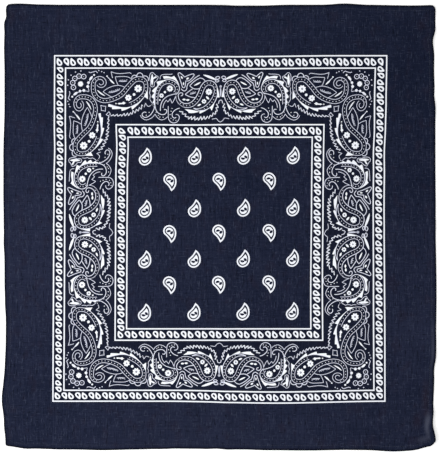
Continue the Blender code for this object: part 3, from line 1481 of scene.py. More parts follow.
@dataclass(frozen=True)
class PrintBox:
    """A rectangle of the print, in millimetres from the middle of the cloth."""

    left: float
    right: float
    bottom: float
    top: float

    def side(self, edge: Edge) -> float:
        """Returns the place of one of its sides."""
        return getattr(self, edge.name.lower())

    def cover(self, x: Points, y: Points, soft: float = 3.0) -> Points:
        """Finds what lies inside the rectangle.

        Args:
            x, y: places on the pattern, in metres.
            soft: width of its soft edge, in millimetres.

        Returns:
            1 inside and 0 outside.
        """
        in_x = np.minimum(x / MM - self.left, self.right - x / MM)
        in_y = np.minimum(y / MM - self.bottom, self.top - y / MM)
        return np.clip(np.minimum(in_x, in_y) / soft + 0.5, 0, 1)


# The two lines of the outer frame, then those of the inner frame
OUTER_LINE = PrintBox(-208.5, 208.2, -218.4, 215.1)
OUTER_INSIDE = PrintBox(-194.8, 194.5, -204.7, 199.6)
INNER_LINE = PrintBox(-130.9, 130.3, -141.9, 128.6)
INNER_INSIDE = PrintBox(-116.6, 115.6, -127.6, 112.9)

# A chain drop and its eye, standing on its round end, in shares of the drop's width and length
CHAIN_DROP = (
    (-0.38, 0.50), (0.02, 0.33), (0.38, 0.05), (0.50, -0.20), (0.34, -0.43), (-0.03, -0.50),
    (-0.37, -0.37), (-0.50, -0.08), (-0.48, 0.22),
)
CHAIN_EYE = (
    (-0.17, 0.15), (0.06, 0.04), (0.20, -0.11), (0.20, -0.26), (0.08, -0.31), (-0.07, -0.25),
    (-0.16, -0.14), (-0.20, -0.04), (-0.20, 0.07),
)


@dataclass(frozen=True)
class ChainRun:
    """One side's row of drops, every second one turned end for end.

    Attributes:
        edge: which side of the frame the row is on.
        start: place of the first drop along the side.
        end: place of the last drop.
        count: number of drops.
        turned: whether the first drop is a turned one.
        sag: how far the middle of the row lies off its even place along the side.
        drag: how far its first quarter lies off that, and its last quarter the other way.
        size: size of its drops, as a share.
    """

    edge: Edge
    start: float
    end: float
    count: int
    turned: bool
    sag: float = 0.0
    drag: float = 0.0
    size: float = 1.0


# The rows of drops in the two frames
OUTER_RUNS = (
    ChainRun(Edge.TOP, -202.4, 200.6, 48, False, -0.8),
    ChainRun(Edge.BOTTOM, -202.8, 192.7, 47, False, -1.4),
    ChainRun(Edge.LEFT, 197.5, -203.5, 49, False, -2.5, 0.75, 0.95),
    ChainRun(Edge.RIGHT, 198.5, -211.6, 50, True, -1.1, 0.8),
)
INNER_RUNS = (
    ChainRun(Edge.TOP, -113.3, 123.7, 28, True),
    ChainRun(Edge.BOTTOM, -124.2, 122.5, 29, False),
    ChainRun(Edge.LEFT, 120.9, -126.6, 30, True),
    ChainRun(Edge.RIGHT, 111.1, -124.8, 29, False),
)


@dataclass
class ChainBand:
    """A frame of two lines with a chain of drops between them.

    Attributes:
        sheet: where the ink goes.
        outer: the outer line.
        inner: the inner line.
        runs: the four rows of drops.
        line: width of the lines.
        drop_width: width of a drop.
        drop_share: length of a drop as a share of the band's width.
        drop_points: number of points round a drop.
    """

    sheet: InkSheet
    outer: PrintBox
    inner: PrintBox
    runs: tuple[ChainRun, ...]
    line: float = 1.6
    drop_width: float = 7.15
    drop_share: float = 0.62
    drop_points: int = 24

    def draw(self) -> None:
        """Draws both lines and the four rows of drops."""
        self.frame_line(self.outer)
        self.frame_line(self.inner)
        for run in self.runs:
            self.row(run)

    def frame_line(self, box: PrintBox) -> None:
        """Draws one rectangle as four straight lines that overlap at their corners.

        Args:
            box: the rectangle.
        """
        left, right = box.left - self.line / 2, box.right + self.line / 2
        runs = (
            ((left, box.top), (right, box.top)),
            ((left, box.bottom), (right, box.bottom)),
            ((box.left, box.bottom), (box.left, box.top)),
            ((box.right, box.bottom), (box.right, box.top)),
        )
        for start, end in runs:
            self.sheet.ribbon(drawn(start, (*end, 0), spacing=3.0), self.line)

    def row(self, run: ChainRun) -> None:
        """Draws one row of drops as rings from outline to eye.

        Args:
            run: the row.
        """
        outer, inner = self.outer.side(run.edge), self.inner.side(run.edge)
        size = np.array([self.drop_width, abs(outer - inner) * self.drop_share]) * run.size
        count = self.drop_points
        ring = np.stack([rounded(CHAIN_DROP, count), rounded(CHAIN_EYE, count)], axis=1) * size
        share = np.linspace(0, 1, run.count)
        along = run.start + (run.end - run.start) * share
        along += run.sag * np.sin(math.pi * share) + run.drag * np.sin(math.tau * share)
        across = np.full(run.count, (outer + inner) / 2)
        centres = np.stack([along, across], axis=-1)
        if run.edge.lengthwise:
            ring = -ring[:, :, ::-1]
            centres = centres[:, ::-1]
        turned = (np.arange(run.count) % 2 == 1) ^ run.turned
        way = np.where(turned, -1.0, 1.0)[:, None, None, None]
        points = centres[:, None, None] + ring[None] * way
        one = grid_faces(count, 2, closed=True)
        many = one[None] + 2 * count * np.arange(run.count)[:, None, None]
        self.sheet.add(points.reshape(-1, 2), many.reshape(-1, 4))


@dataclass(frozen=True)
class Slip:
    """How the print of one half side lies off its even place, in millimetres.

    Attributes:
        gap: how far from the corner the chart starts.
        bow: how far the row of motifs bows, into the cloth near the corner and out near the middle.
        lean: how much further along the border's inner edge is drawn than its outer edge.
        out: how far the whole row lies towards the edge of the cloth.
        short: how far it ends short of the middle of the side.
        tail: how far the curled tail by the corner is drawn to the corner, and into the cloth.
    """

    gap: float = 0.0
    bow: float = 0.0
    lean: float = 0.0
    out: float = 0.0
    short: float = 0.0
    tail: Knot = (0.0, 0.0)


# The slips of the four level half sides, then of the four upright ones: top left, top right,
# bottom left and bottom right
LEVEL_SLIPS = (
    Slip(tail=(0.5, 0.5)),
    Slip(2.0, 0.7, tail=(0.3, 1.1)),
    Slip(-0.8, 1.2, short=0.2),
    Slip(2.0, 1.2, tail=(1.1, 0.0)),
)
UPRIGHT_SLIPS = (
    Slip(1.3, 0.8, out=0.4, tail=(2.5, 1.4)),
    Slip(0.9, 1.4, 1.5, out=1.2, tail=(1.8, 0.6)),
    Slip(-3.2, 1.0, tail=(-0.5, 0.6)),
    Slip(-2.0, 1.2, -1.5, out=0.5, tail=(0.9, 1.0)),
)


@dataclass(frozen=True)
class HalfSide:
    """Places the border's chart on half of one side of the print.

    Attributes:
        corner: the print's corner that the chart starts from.
        along: direction from the corner to the middle of the side.
        inward: direction from the side into the cloth.
        reach: length of the half side.
        depth: depth of the border.
        slip: how it lies off its even place.
    """

    # Turns of the bow's sine over the half side, and the share of a turn that it starts late
    BOW_TURNS = 0.95
    BOW_LATE = 0.03

    # Where along the half side the tail's curl is, and how far from there it is drawn, as shares
    TAIL_AT = 0.15
    TAIL_REACH = 0.3

    corner: Knot
    along: tuple[int, int]
    inward: tuple[int, int]
    reach: float
    depth: float
    slip: Slip = Slip()

    def place(self, path: object) -> Points:
        """Takes chart points to the print: corner + along * x + inward * y.

        The lean is added to x as y grows, the bow to y as x grows, and the tail's shift to both.

        Args:
            path: chart points, in one row or more.

        Returns:
            The same points in the print's millimetres.
        """
        path = np.asarray(path, dtype=float)
        slip = self.slip
        share = path[..., :1] / BorderChart.WIDTH
        x = slip.gap + share * (self.reach - slip.short - slip.gap)
        x = x + slip.lean * (path[..., 1:] / BorderChart.DEPTH - 0.5)
        y = path[..., 1:] / BorderChart.DEPTH * self.depth - slip.out
        y = y + slip.bow * np.sin(math.tau * (self.BOW_TURNS * share - self.BOW_LATE))
        near = fade((share - self.TAIL_AT) / self.TAIL_REACH)
        x = x - slip.tail[0] * near
        y = y + slip.tail[1] * near
        return np.array(self.corner) + x * np.array(self.along) + y * np.array(self.inward)

    def mirrored(self) -> "HalfSide":
        """Mirrors the chart in the corner's diagonal.

        Returns:
            The new placing.
        """
        reach = self.depth / BorderChart.DEPTH * BorderChart.WIDTH
        depth = self.reach / BorderChart.WIDTH * BorderChart.DEPTH
        return HalfSide(self.corner, self.inward, self.along, reach, depth)


@dataclass
class BorderChart:
    """The paisley border, charted for half of one side from the print's corner to its middle.

    Chart points run along the side in x and into the cloth in y, about 1.25 mm each. Widths of
    lines and sizes of dots are in millimetres. A turn is positive from along towards inward.

    Attributes:
        sheet: where the ink goes.
        side: the half side that the chart is placed on.
        fine: width of a fine line.
        bold: width of a stronger line.
        dot: radius of the small dots in the bands.
        pitch: distance between those dots, in chart points.
        dot_room: width of band that has room for dots, in chart points.
    """

    WIDTH = 156.0
    DEPTH = 56.9

    # Points along each edge of a filled patch, and steps along each edge of a flame
    PATCH_POINTS = 14
    FLAME_STEPS = 9

    # A tooth's points: how far along its pitch each lies, and how far out as a share of its height
    TOOTH_ALONG = (0.0, 0.28, 0.56, 0.84, 0.92)
    TOOTH_RISE = (0.0, 0.26, 0.64, 1.0, 0.5)

    sheet: InkSheet
    side: HalfSide
    fine: float = 0.68
    bold: float = 0.90
    dot: float = 0.56
    pitch: float = 3.3
    dot_room: float = 2.9

    def line(self, start: Knot, *arcs: Arc, width: float = 0.0) -> None:
        """Draws a line of arcs, fine unless a width is given."""
        self.sheet.ribbon(self.side.place(drawn(start, *arcs)), width or self.fine)

    def stroke(self, start: Knot, *arcs: Arc, width: float, faint: float = 0.0) -> None:
        """Draws a brush stroke that swells in the middle and comes to a point at both ends."""
        self.sheet.taper(self.side.place(drawn(start, *arcs)), width, faint)

    def flame(self, tip: Knot, first: Arc, second: Arc) -> None:
        """Fills a flame, two arcs that meet at its tip.

        Args:
            tip: its tip.
            first, second: the root of each arc, and its turn.
        """
        edges = [
            self.side.place(drawn((x, y), (*tip, turn), count=self.FLAME_STEPS))
            for x, y, turn in (first, second)
        ]
        self.sheet.between(*edges)

    def spots(self, *centres: Knot, radius: float, faint: float = 0.0) -> None:
        """Draws equal dots."""
        self.sheet.dots(self.side.place(centres), radius, sides=10, faint=faint)

    def patch(self, first: Points, second: Points) -> None:
        """Fills the space between two paths.

        Args:
            first, second: the paths.
        """
        edges = [
            self.side.place(paced(path, np.linspace(0, length(path), self.PATCH_POINTS))[0])
            for path in (first, second)
        ]
        self.sheet.between(*edges)

    def flower(self, centre: Knot, radius: float, petals: int, eye: float) -> None:
        """Draws a flower with a clear eye, given as a share of its radius, and a faint heart."""
        self.sheet.blossom(self.side.place(centre), radius, petals, radius * eye)
        self.spots(centre, radius=radius * eye * 0.6, faint=0.5)

    def dots_on(self, path: Points) -> None:
        """Draws small dots at their pitch along a path.

        Args:
            path: the path, in chart points.
        """
        count = max(1, round(length(path) / self.pitch))
        places, _ = paced(path, (np.arange(count) + 0.5) * length(path) / count)
        self.sheet.dots(self.side.place(places), self.dot)

    def teeth(
        self,
        start: Knot,
        *arcs: Arc,
        pitch: float,
        height: float,
        width: float = 0.0,
        young: float = 1.0,
    ) -> None:
        """Draws a toothed line: over each pitch it leans out to a tip and drops back.

        The tips' heights vary by 22 percent, as the sine of 2.3 times the tooth's number.

        Args:
            start: where the feet of the teeth start.
            arcs: the arcs through their feet.
            pitch: distance between teeth, in chart points.
            height: height of a tooth, to the outer side of a line that runs along the border.
            width: width of the line, fine unless given.
            young: height of the first tooth, as a share; the next four grow to the whole.
        """
        path = drawn(start, *arcs, spacing=0.25)
        count = max(1, round(length(path) / pitch))
        tooth = np.arange(count)[:, None]
        at = ((tooth + self.TOOTH_ALONG) * length(path) / count).ravel()
        grown = np.minimum(1.0, young + (1 - young) * tooth / 4)
        uneven = 1 + 0.22 * np.sin(2.3 * tooth)
        lift = (np.array(self.TOOTH_RISE) * uneven * grown).ravel()
        places, square = paced(path, at)
        jagged = places - square * lift[:, None] * height
        self.sheet.ribbon(self.side.place(jagged), width or self.fine)

    def band(
        self,
        start: Knot,
        *arcs: Arc,
        widths: tuple[float, ...],
        upto: float = 1.0,
        lines: tuple[float, float] = (0.0, 0.0),
    ) -> None:
        """Draws a dotted band: a line of arcs, a second line beside it and dots between them.

        Args:
            start: where the first line starts.
            arcs: its arcs.
            widths: distances to the second line, inward of a line that runs along the border.
            upto: share of the first line that the second keeps beside.
            lines: widths of the two lines, fine where 0.
        """
        first = drawn(start, *arcs)
        at = np.linspace(0, length(first), 2 * len(first))
        first, square = paced(first, at)
        share = np.linspace(0, 1, len(first))
        off = np.interp(share, np.linspace(0, 1, len(widths)), widths)
        kept = share <= upto
        second = first + square * off[:, None]
        self.sheet.ribbon(self.side.place(first), lines[0] or self.fine)
        self.sheet.ribbon(self.side.place(second[kept]), lines[1] or self.fine)
        self.dots_on(((first + second) / 2)[kept & (np.abs(off) > self.dot_room)])

    def vein(self, start: Knot, *arcs: Arc) -> None:
        """Draws a leaf's vein, a soft short stroke with uneven teeth along it."""
        self.teeth(start, *arcs, pitch=2.1, height=1.6, width=0.5)
        self.stroke(start, *arcs, width=0.85, faint=0.2)

    def draw(self) -> None:
        """Draws every motif of the half side, from the corner to the middle."""
        self.tail_paisley()
        self.first_leaves()
        self.first_crescent()
        self.spray()
        self.middle_paisley()
        self.crest()
        self.tulip()
        self.axis_paisley()
        self.axis_flames()
        self.axis_leaves()
        self.keyhole()
        self.scrolls()

    def tail_paisley(self) -> None:
        """Draws the long paisley: its band from the curled tail round the belly, its flowers."""
        self.band(
            (34.2, 15.2), (38.6, 14.4, -150), (34.6, 11, -95), (30.2, 16.2, -85),
            (30.6, 22.4, -14), (33.8, 28, -35), (42, 30.2, -50), (54.7, 25, -26),
            (58.2, 21.2, -12), (67, 11.1, 10), (75.8, 8.6, 50), (82.6, 15.2, 72),
            (82, 23.8, 25), (78.2, 30, 28), (65.2, 38.9, 32), (55.6, 39.4, 30), (44, 36, 8),
            widths=(2.6, 2.8, 3.8, 4.2, 4.2, 4.4, 4.4, 4.5, 4.6, 3.7, 3.5, 4.2, 4.2, 4, 4),
            upto=0.85,
        )
        self.flower((73.1, 20.5), 4.8, 8, 0.25)
        self.flower((63.3, 29.8), 4.1, 7, 0.22)
        self.spots((69, 26.5), radius=1.75)
        self.stroke((52.4, 35.6), (61, 35, -10), width=1.5)
        self.spots((58.6, 35.1), radius=1.7)
        self.spots((54.3, 35.6), radius=1.1)
        self.spots((51, 35.5), radius=0.8)
        self.stroke((32.3, 21.6), (40.2, 27.6, -25), width=1.45)
        self.line((66.8, 10.4), (71.6, 8.6, 175), width=self.bold)
        self.line((71.8, 8.6), (77.6, 8.6, 215), width=self.bold)
        self.line((77.9, 8.2), (83, 12.8, 150), width=self.bold)

    def first_leaves(self) -> None:
        """Draws the two leaves inside the tail, the dash over them and the line round them."""
        self.line((38.1, 23.4), (51.5, 17.3, 35), (59.8, 19.2, 30))
        self.line((38.1, 23.4), (47.4, 29.3, -10))
        self.vein((43.6, 24.7), (55.2, 21.4, -22))
        self.line((50.2, 8.6), (60.6, 8.4, 6), (66.6, 11, 30))
        self.line((50.2, 8.6), (53.3, 17.3, -22))
        self.vein((53.8, 13.2), (62.2, 13, -14))
        self.line((42.4, 8.6), (46.2, 12.2, 0), width=0.8)
        self.stroke((44.4, 10.8), (49.4, 15.7, -6), width=1.7)
        self.spots((42, 7.8), radius=0.9)
        self.line((46, 3.4), (47.6, 9.8, -8))
        self.line((46, 3.4), (54.7, 5.4, -24), (64.3, 4.5, -6), (66.2, 5.8, 50))

    def first_crescent(self) -> None:
        """Draws the feathered crescent under the long paisley and the toothed line below it."""
        self.flame((56, 40.2), (43.6, 35.8, -14), (43.2, 38.4, -6))
        self.flame((64.8, 39.6), (46.9, 37.6, -16), (47.2, 41.1, -10))
        self.flame((66.2, 39), (56, 39.4, -10), (56.8, 43, -18))
        self.flame((79.6, 28.8), (66, 38.4, -24), (67.2, 41.8, -16))
        self.flame((82.9, 31.4), (79, 28.6, 20), (82.5, 21.6, 4))
        self.teeth(
            (45.8, 47.8), (62.5, 48, -10), (70, 45.2, -22), (79.2, 39.4, -8),
            pitch=3.6, height=3, width=1, young=0.45,
        )
        self.line((79.2, 39.4), (80.6, 35.2, 0), (82.9, 38.5, -20), (85.8, 37.6, -40))

    def spray(self) -> None:
        """Draws the small leaf spray between the first two paisleys, in its wavy outline."""
        self.stroke((87.1, 5.6), (87.1, 17.2, 0), width=2.8)
        self.line((87.4, 10.8), (91.4, 8.4, 10), width=1.9)
        self.line(
            (85.8, 13.4), (85, 6, 50), (89.4, 5.8, 150), (93.2, 8.4, -10), (89.7, 13.8, 50),
            (89.3, 17, -50), (85.6, 17.4, 160), (85.8, 13.4, 10),
        )
        self.line((84.7, 19.4), (84.4, 24.8, 50), (84.8, 30.9, 50), (87.8, 35.6, -25))
        self.dots_on(drawn((86, 36), (90, 40, 10)))

    def middle_paisley(self) -> None:
        """Draws the upright paisley: its dotted band, its hooked foot, its flowers and crown."""
        self.band(
            (93, 36.6), (93, 30, 6), (96.9, 18.4, 36), (103.5, 15.2, 52), (109.9, 18.6, 56),
            (108.8, 23.8, 88),
            widths=(-3, -3, -3.1, -3.3, -3.7, -3.9, -4.1, -3.9, -4.3, -3.2),
            lines=(0, self.bold),
        )
        self.line(
            (111.6, 25.4), (103.2, 27.8, -10), (96.6, 34.8, -40), (95.6, 43, -25), width=self.bold
        )
        self.line(
            (90, 37), (91.6, 43, -20), (97.4, 46.8, -55), (102, 43.8, -78),
            (99.2, 42, -150), width=self.bold,
        )
        self.flower((105, 20.2), 4.1, 10, 0.26)
        self.spots((100, 23.9), radius=1.5)
        self.flower((96.6, 27.5), 2.9, 8, 0.34)
        self.spots((94.9, 32), radius=1)
        self.line((98.2, 40), (99.2, 35.4, 20), (101.4, 32, 10), (102.8, 34, 0))
        self.line((102.8, 34), (105.4, 30.6, -15), (107.2, 35.2, 0), (110.6, 28.4, -20))
        self.line((110.6, 28.4), (112.5, 34, -15), (118.9, 39.1, -30))

    def crest(self) -> None:
        """Draws the thorns down the back and the flames over the top of the middle paisley."""
        self.line((89.4, 37.5), (89.6, 26, 10), (95.9, 13.8, 40), width=1.2)
        self.flame((87, 23), (91.4, 18.6, -25), (90.6, 25.4, 20))
        self.flame((86.6, 29), (90.4, 24, -30), (90.2, 31.4, 20))
        self.flame((87.8, 34.4), (90.2, 30.6, -25), (90.2, 36.6, 15))
        self.flame((101.6, 11.9), (92.6, 16.4, 12), (91.6, 13.6, 22))
        self.flame((100, 12.2), (91, 21.4, 24), (93, 15.6, 10))
        self.patch(
            drawn(
                (97.8, 8), (101.6, 7.5, 14), (107.2, 8.8, 6), (108.9, 7, 0), (114.2, 16.4, 24)
            ),
            drawn((99, 10.4), (104.8, 10, 12), (110.2, 11.8, 20), (114.1, 16.8, 20)),
        )
        self.line((95.2, 10.8), (97.2, 6.2, 75), (104.8, 5.8, 10), (107.4, 5.4, -20))

    def tulip(self) -> None:
        """Draws the tulip between the middle paisley and the one beside the axis."""
        self.line(
            (119.7, 8.4), (127.4, 5.2, 14), (129.4, 6.2, 110), (124, 12.2, 26), (120.8, 12.4, 10),
            (120.2, 18.2, 6), (117.5, 18.6, 130), (113.2, 6, -8), (114.6, 4, 110),
            (119.7, 8.4, 20), width=self.bold,
        )
        self.stroke((116, 7.6), (117.8, 10.2, 0), width=1.8)
        self.stroke((121.4, 10.8), (124, 9, 0), width=2.1)
        self.stroke((118.6, 13.6), (118.6, 16.8, 0), width=1.5)
        self.line(
            (134.7, 6.4), (128.4, 10.9, -18), (123.2, 15, 10), (122, 18.6, -10),
            (119.4, 22.7, 90), (116.3, 20.4, 40), width=self.bold,
        )

    def axis_paisley(self) -> None:
        """Draws the paisley beside the middle of the side: its band, its curl and its flowers."""
        self.line((116, 27.5), (117.5, 24.8, -150), (113.4, 27.4, -120), width=self.bold)
        self.band(
            (113.4, 27.4), (120.6, 35.5, -85), (127, 33.6, -45), (131.8, 27.7, -22),
            (134.7, 20.9, -8), (138.8, 14.1, 22), (144.3, 11.8, 45), (152.2, 18.2, 76),
            (152.5, 27.3, 22), (147, 38, 34), (136.1, 42.5, 46), (128.8, 40.2, 30),
            widths=(
                2.4, 2.9, 4, 4.6, 4.6, 4.4, 4.3, 4.5, 4.6, 3.6, 3, 3.9, 4.6, 4.7, 3.6, 2, 0.1
            ),
            lines=(self.bold, 0),
        )
        self.flower((144.2, 23.4), 4.2, 9, 0.22)
        self.stroke((141.4, 28), (144.4, 31.2, 0), width=2.4)
        self.flower((139.3, 33.2), 3, 7, 0.34)
        self.stroke((132.7, 37.8), (136.4, 36, 0), width=2.1)
        self.stroke((117.6, 31.3), (121, 31.5, 0), width=2.2)
        self.stroke((121.2, 31.9), (124.8, 31.8, 0), width=2.2)

    def axis_flames(self) -> None:
        """Draws the flames under the axis paisley, over its head and beside the axis."""
        self.stroke((138.4, 6), (151.6, 11.2, 10), width=2.8)
        self.flame((120, 41.2), (129, 42.2, 0), (123.6, 43.8, 12))
        self.flame((134.6, 43.7), (122.6, 41.4, 12), (124, 45.1, -26))
        self.flame((144.8, 40), (134.5, 43.4, -14), (135, 45.8, -16))
        self.flame((147, 42.8), (145, 39.4, 20), (149.8, 34.8, 14))
        self.flame((152.2, 17), (152.6, 29.2, 4), (155, 29, -10))

    def axis_leaves(self) -> None:
        """Draws the two leaves between the tulip and the paisley beside the axis."""
        self.line((125, 17.3), (135.2, 9.3, 30), (140.6, 12.7, 66), width=self.bold)
        self.line((125, 17.3), (128.8, 20.2, -14), (135.4, 19.8, -38), width=self.bold)
        self.stroke((129.2, 17), (136, 13.4, -10), width=1.7)
        self.line((120.4, 26.1), (123.4, 23.6, 8), (127.7, 20.5, 10), width=self.bold)
        self.line((120.4, 26.1), (126.5, 28.9, -20), (131, 29.4, -12), width=self.bold)
        self.vein((125.2, 26), (131.2, 24.2, -10))

    def keyhole(self) -> None:
        """Draws the ruffle under the axis paisley and the side's half of the keyhole."""
        self.teeth((114.5, 43.4), (123.4, 50.8, -10), pitch=4.3, height=2.2, width=1.1)
        self.teeth(
            (123.4, 51.2), (131.8, 52.4, -10), (144, 50.8, -14),
            pitch=3.5, height=3.3, width=1.2,
        )
        self.teeth(
            (144, 50.8), (151.6, 45.6, -8), (154, 35.6, -30),
            pitch=4, height=2.1, width=1.1,
        )
        self.line((154, 35.6), (154.4, 33.2, 6), (156, 32, 60), width=self.bold)
        self.line((147.3, 51.4), (151.8, 50.6, 12), (153.4, 52.8, 20), (156, 54.3, -20))
        self.line((150.8, 9.4), (155.1, 8.6, 130), (150.8, 9.4, 130), width=self.bold)
        self.line((150.3, 12.3), (154.3, 12.1, 115), (150.3, 12.3, 115), width=self.bold)
        self.spots((156, 18), radius=1.5, faint=0.45)
        self.stroke((156, 19.4), (156, 28.6, 0), width=1.9, faint=0.2)

    def scrolls(self) -> None:
        """Draws the scrolls at the foot of the middle paisley, with their dots."""
        self.line((75.4, 47.4), (81.6, 52.2, -65), (90.2, 46.2, -50))
        self.line((90.2, 46.2), (96.2, 52.1, -48), (102.8, 48.8, -50))
        self.line(
            (89.9, 38.4), (86.6, 45.8, 22), (80.8, 49.6, 45), (77.2, 46.8, 90), (81.4, 44.7, 125),
            width=self.bold,
        )
        self.spots((81.4, 47.4), (84.3, 44.6), (95, 49.2), (98.3, 49.4), radius=0.6)
        self.dots_on(drawn((90.4, 42.6), (94.8, 49, -20)))
        self.line(
            (103.4, 38.2), (103.6, 49.6, -4), (108.4, 55, -80), (114.6, 49.4, -95),
            (111, 46.6, -100), width=0.8,
        )
        self.line(
            (114.8, 40.2), (107.6, 45.2, -50), (108.2, 49.4, -60), (111.4, 49.4, -110),
            width=self.bold,
        )
        self.spots((107.2, 40.5), (106.3, 43.4), (105.3, 46.8), radius=0.6)
        self.dots_on(drawn((105.4, 49.4), (112.6, 52.4, -70)))


@dataclass
class CornerMotif:
    """A corner of the border: a rosette in its pearls, beads both ways and a knot.

    Attributes:
        chart: the chart on the corner, its two scales alike.
        square: middle of the hollow-sided square on the diagonal, in chart points.
        loop: middle of the small loop past it.
        rosette: middle of the rosette, in chart points from the corner.
        pearls: number of pearls on their arc round the rosette, and of dots on theirs.
        pearl_arc: radius of the pearls' arc, and the angles that it starts and ends at.
        dot_arc: the same for the arc of small dots outside it.
    """

    chart: BorderChart
    square: Knot
    loop: Knot
    rosette: Knot = (15.2, 15.9)
    pearls: int = 5
    pearl_arc: tuple[float, float, float] = (8.0, 154.0, 293.0)
    dot_arc: tuple[float, float, float] = (13.0, 174.0, 271.0)

    def draw(self) -> None:
        """Draws the corner's motifs, the beads once each way."""
        self.chart.flower(self.rosette, 3.5, 9, 0.12)
        ring = self.on_arc(*self.pearl_arc)
        for centre in self.chart.side.place(ring):
            self.chart.sheet.ring(centre, 2.9, 0.85)
        self.chart.spots(*ring, radius=0.52)
        self.chart.spots(*self.on_arc(*self.dot_arc), radius=0.8, faint=0.15)
        self.knot()
        twin = BorderChart(self.chart.sheet, self.chart.side.mirrored())
        for chart in (self.chart, twin):
            self.beads(chart)

    def on_arc(self, radius: float, first: float, last: float) -> list[Knot]:
        """Finds a place for each pearl on an arc round the rosette.

        Args:
            radius: the arc's radius.
            first, last: the angles it starts and ends at.

        Returns:
            The places.
        """
        turn = np.radians(np.linspace(first, last, self.pearls))
        x = self.rosette[0] + radius * np.cos(turn)
        y = self.rosette[1] + radius * np.sin(turn)
        return list(zip(x.tolist(), y.tolist()))

    def knot(self) -> None:
        """Draws the hollow-sided square on the diagonal, and the small loop past it."""
        x, y = self.square
        self.chart.line(
            (x - 2.7, y - 3.1), (x + 2.6, y - 2.2, -28), (x + 2.3, y + 3.0, -28),
            (x - 2.1, y + 2.3, -28), (x - 2.7, y - 3.1, -28),
        )
        x, y = self.loop
        self.chart.line(
            (x - 2.4, y + 0.9), (x + 0.5, y - 2.3, -25), (x + 2.4, y + 0.5, -25),
            (x - 0.2, y + 2.2, -25), (x - 2.4, y + 0.9, -25),
        )

    def beads(self, chart: BorderChart) -> None:
        """Draws the beads, the wavy line and the dots that run from the corner along one side.

        Args:
            chart: the chart along that side.
        """
        chart.spots((28.7, 6.9), radius=1.2)
        chart.stroke((27.4, 8), (24, 12.4, -8), width=2.7)
        chart.spots((23.1, 14.6), radius=1.6)
        chart.spots((22.4, 18.5), radius=1.75)
        chart.line((27.4, 8.4), (22.8, 16, -14), (23.7, 23.4, -20))
        chart.line((23.3, 3.8), (25, 4.6, -20), (30.2, 3, -10), (32.2, 4.9, 20), width=0.8)
        chart.spots((33.4, 2.4), (36.3, 3.5), (38.7, 4.6), radius=0.75, faint=0.15)


@dataclass(frozen=True)
class CornerFit:
    """How one corner's motif is fitted.

    Attributes:
        shift: how far it lies off the frame's corner, in millimetres.
        square: middle of the hollow-sided square on its diagonal, in chart points.
        loop: middle of the small loop past that.
    """

    shift: Knot
    square: Knot
    loop: Knot


# The corners' fits: top left, top right, bottom left and bottom right
CORNER_FITS = (
    CornerFit((0.0, 0.0), (38.1, 40.4), (43.2, 45.8)),
    CornerFit((-0.7, 0.0), (38.5, 40.8), (43.7, 46.6)),
    CornerFit((-0.4, -1.3), (38.1, 38.6), (43.8, 43.4)),
    CornerFit((-0.5, -1.3), (38.8, 38.6), (44.2, 43.6)),
)


@dataclass
class PaisleyBorder:
    """The wide border between the two chain frames.

    Attributes:
        sheet: where the ink goes.
        axis_y: where the left and right sides turn from their upper half to their lower half.
        point: size of a chart point in the corners, in millimetres.
        right_depth: how much deeper the right side's print is than the room between the frames.
    """

    sheet: InkSheet
    axis_y: float = -6.5
    point: float = 1.25
    right_depth: float = 2.4

    def corners(self) -> list[tuple[Knot, tuple[int, int]]]:
        """Finds the frame's corners, the top ones first.

        Returns:
            Each corner, and its sides of the middle.
        """
        box = OUTER_INSIDE
        across, along = ((box.left, -1), (box.right, 1)), ((box.top, 1), (box.bottom, -1))
        return [((x, y), (x_side, y_side)) for y, y_side in along for x, x_side in across]

    def half_sides(self) -> list[HalfSide]:
        """Places the eight half sides.

        Returns:
            The half sides, the level ones first.
        """
        depth = {e: abs(OUTER_INSIDE.side(e) - INNER_LINE.side(e)) for e in Edge}
        depth[Edge.RIGHT] += self.right_depth
        level, upright = [], []
        for corner, (x_side, y_side) in self.corners():
            in_x, in_y = (-x_side, 0), (0, -y_side)
            reach_x, reach_y = abs(corner[0]), abs(corner[1] - self.axis_y)
            level.append((corner, in_x, in_y, reach_x, depth[Edge((0, y_side))]))
            upright.append((corner, in_y, in_x, reach_y, depth[Edge((x_side, 0))]))
        placed = zip(level + upright, LEVEL_SLIPS + UPRIGHT_SLIPS)
        return [HalfSide(*place, slip) for place, slip in placed]

    def corner_motifs(self) -> list[CornerMotif]:
        """Fits the motifs of the four corners.

        Returns:
            The motifs.
        """
        size = self.point * BorderChart.WIDTH, self.point * BorderChart.DEPTH
        motifs = []
        for ((x, y), (x_side, y_side)), fit in zip(self.corners(), CORNER_FITS):
            corner = (x + fit.shift[0], y + fit.shift[1])
            chart = BorderChart(self.sheet, HalfSide(corner, (-x_side, 0), (0, -y_side), *size))
            motifs.append(CornerMotif(chart, fit.square, fit.loop))
        return motifs

    def draw(self) -> None:
        """Draws the chart on every half side and a corner motif in every corner."""
        for side in self.half_sides():
            BorderChart(self.sheet, side).draw()
        for motif in self.corner_motifs():
            motif.draw()


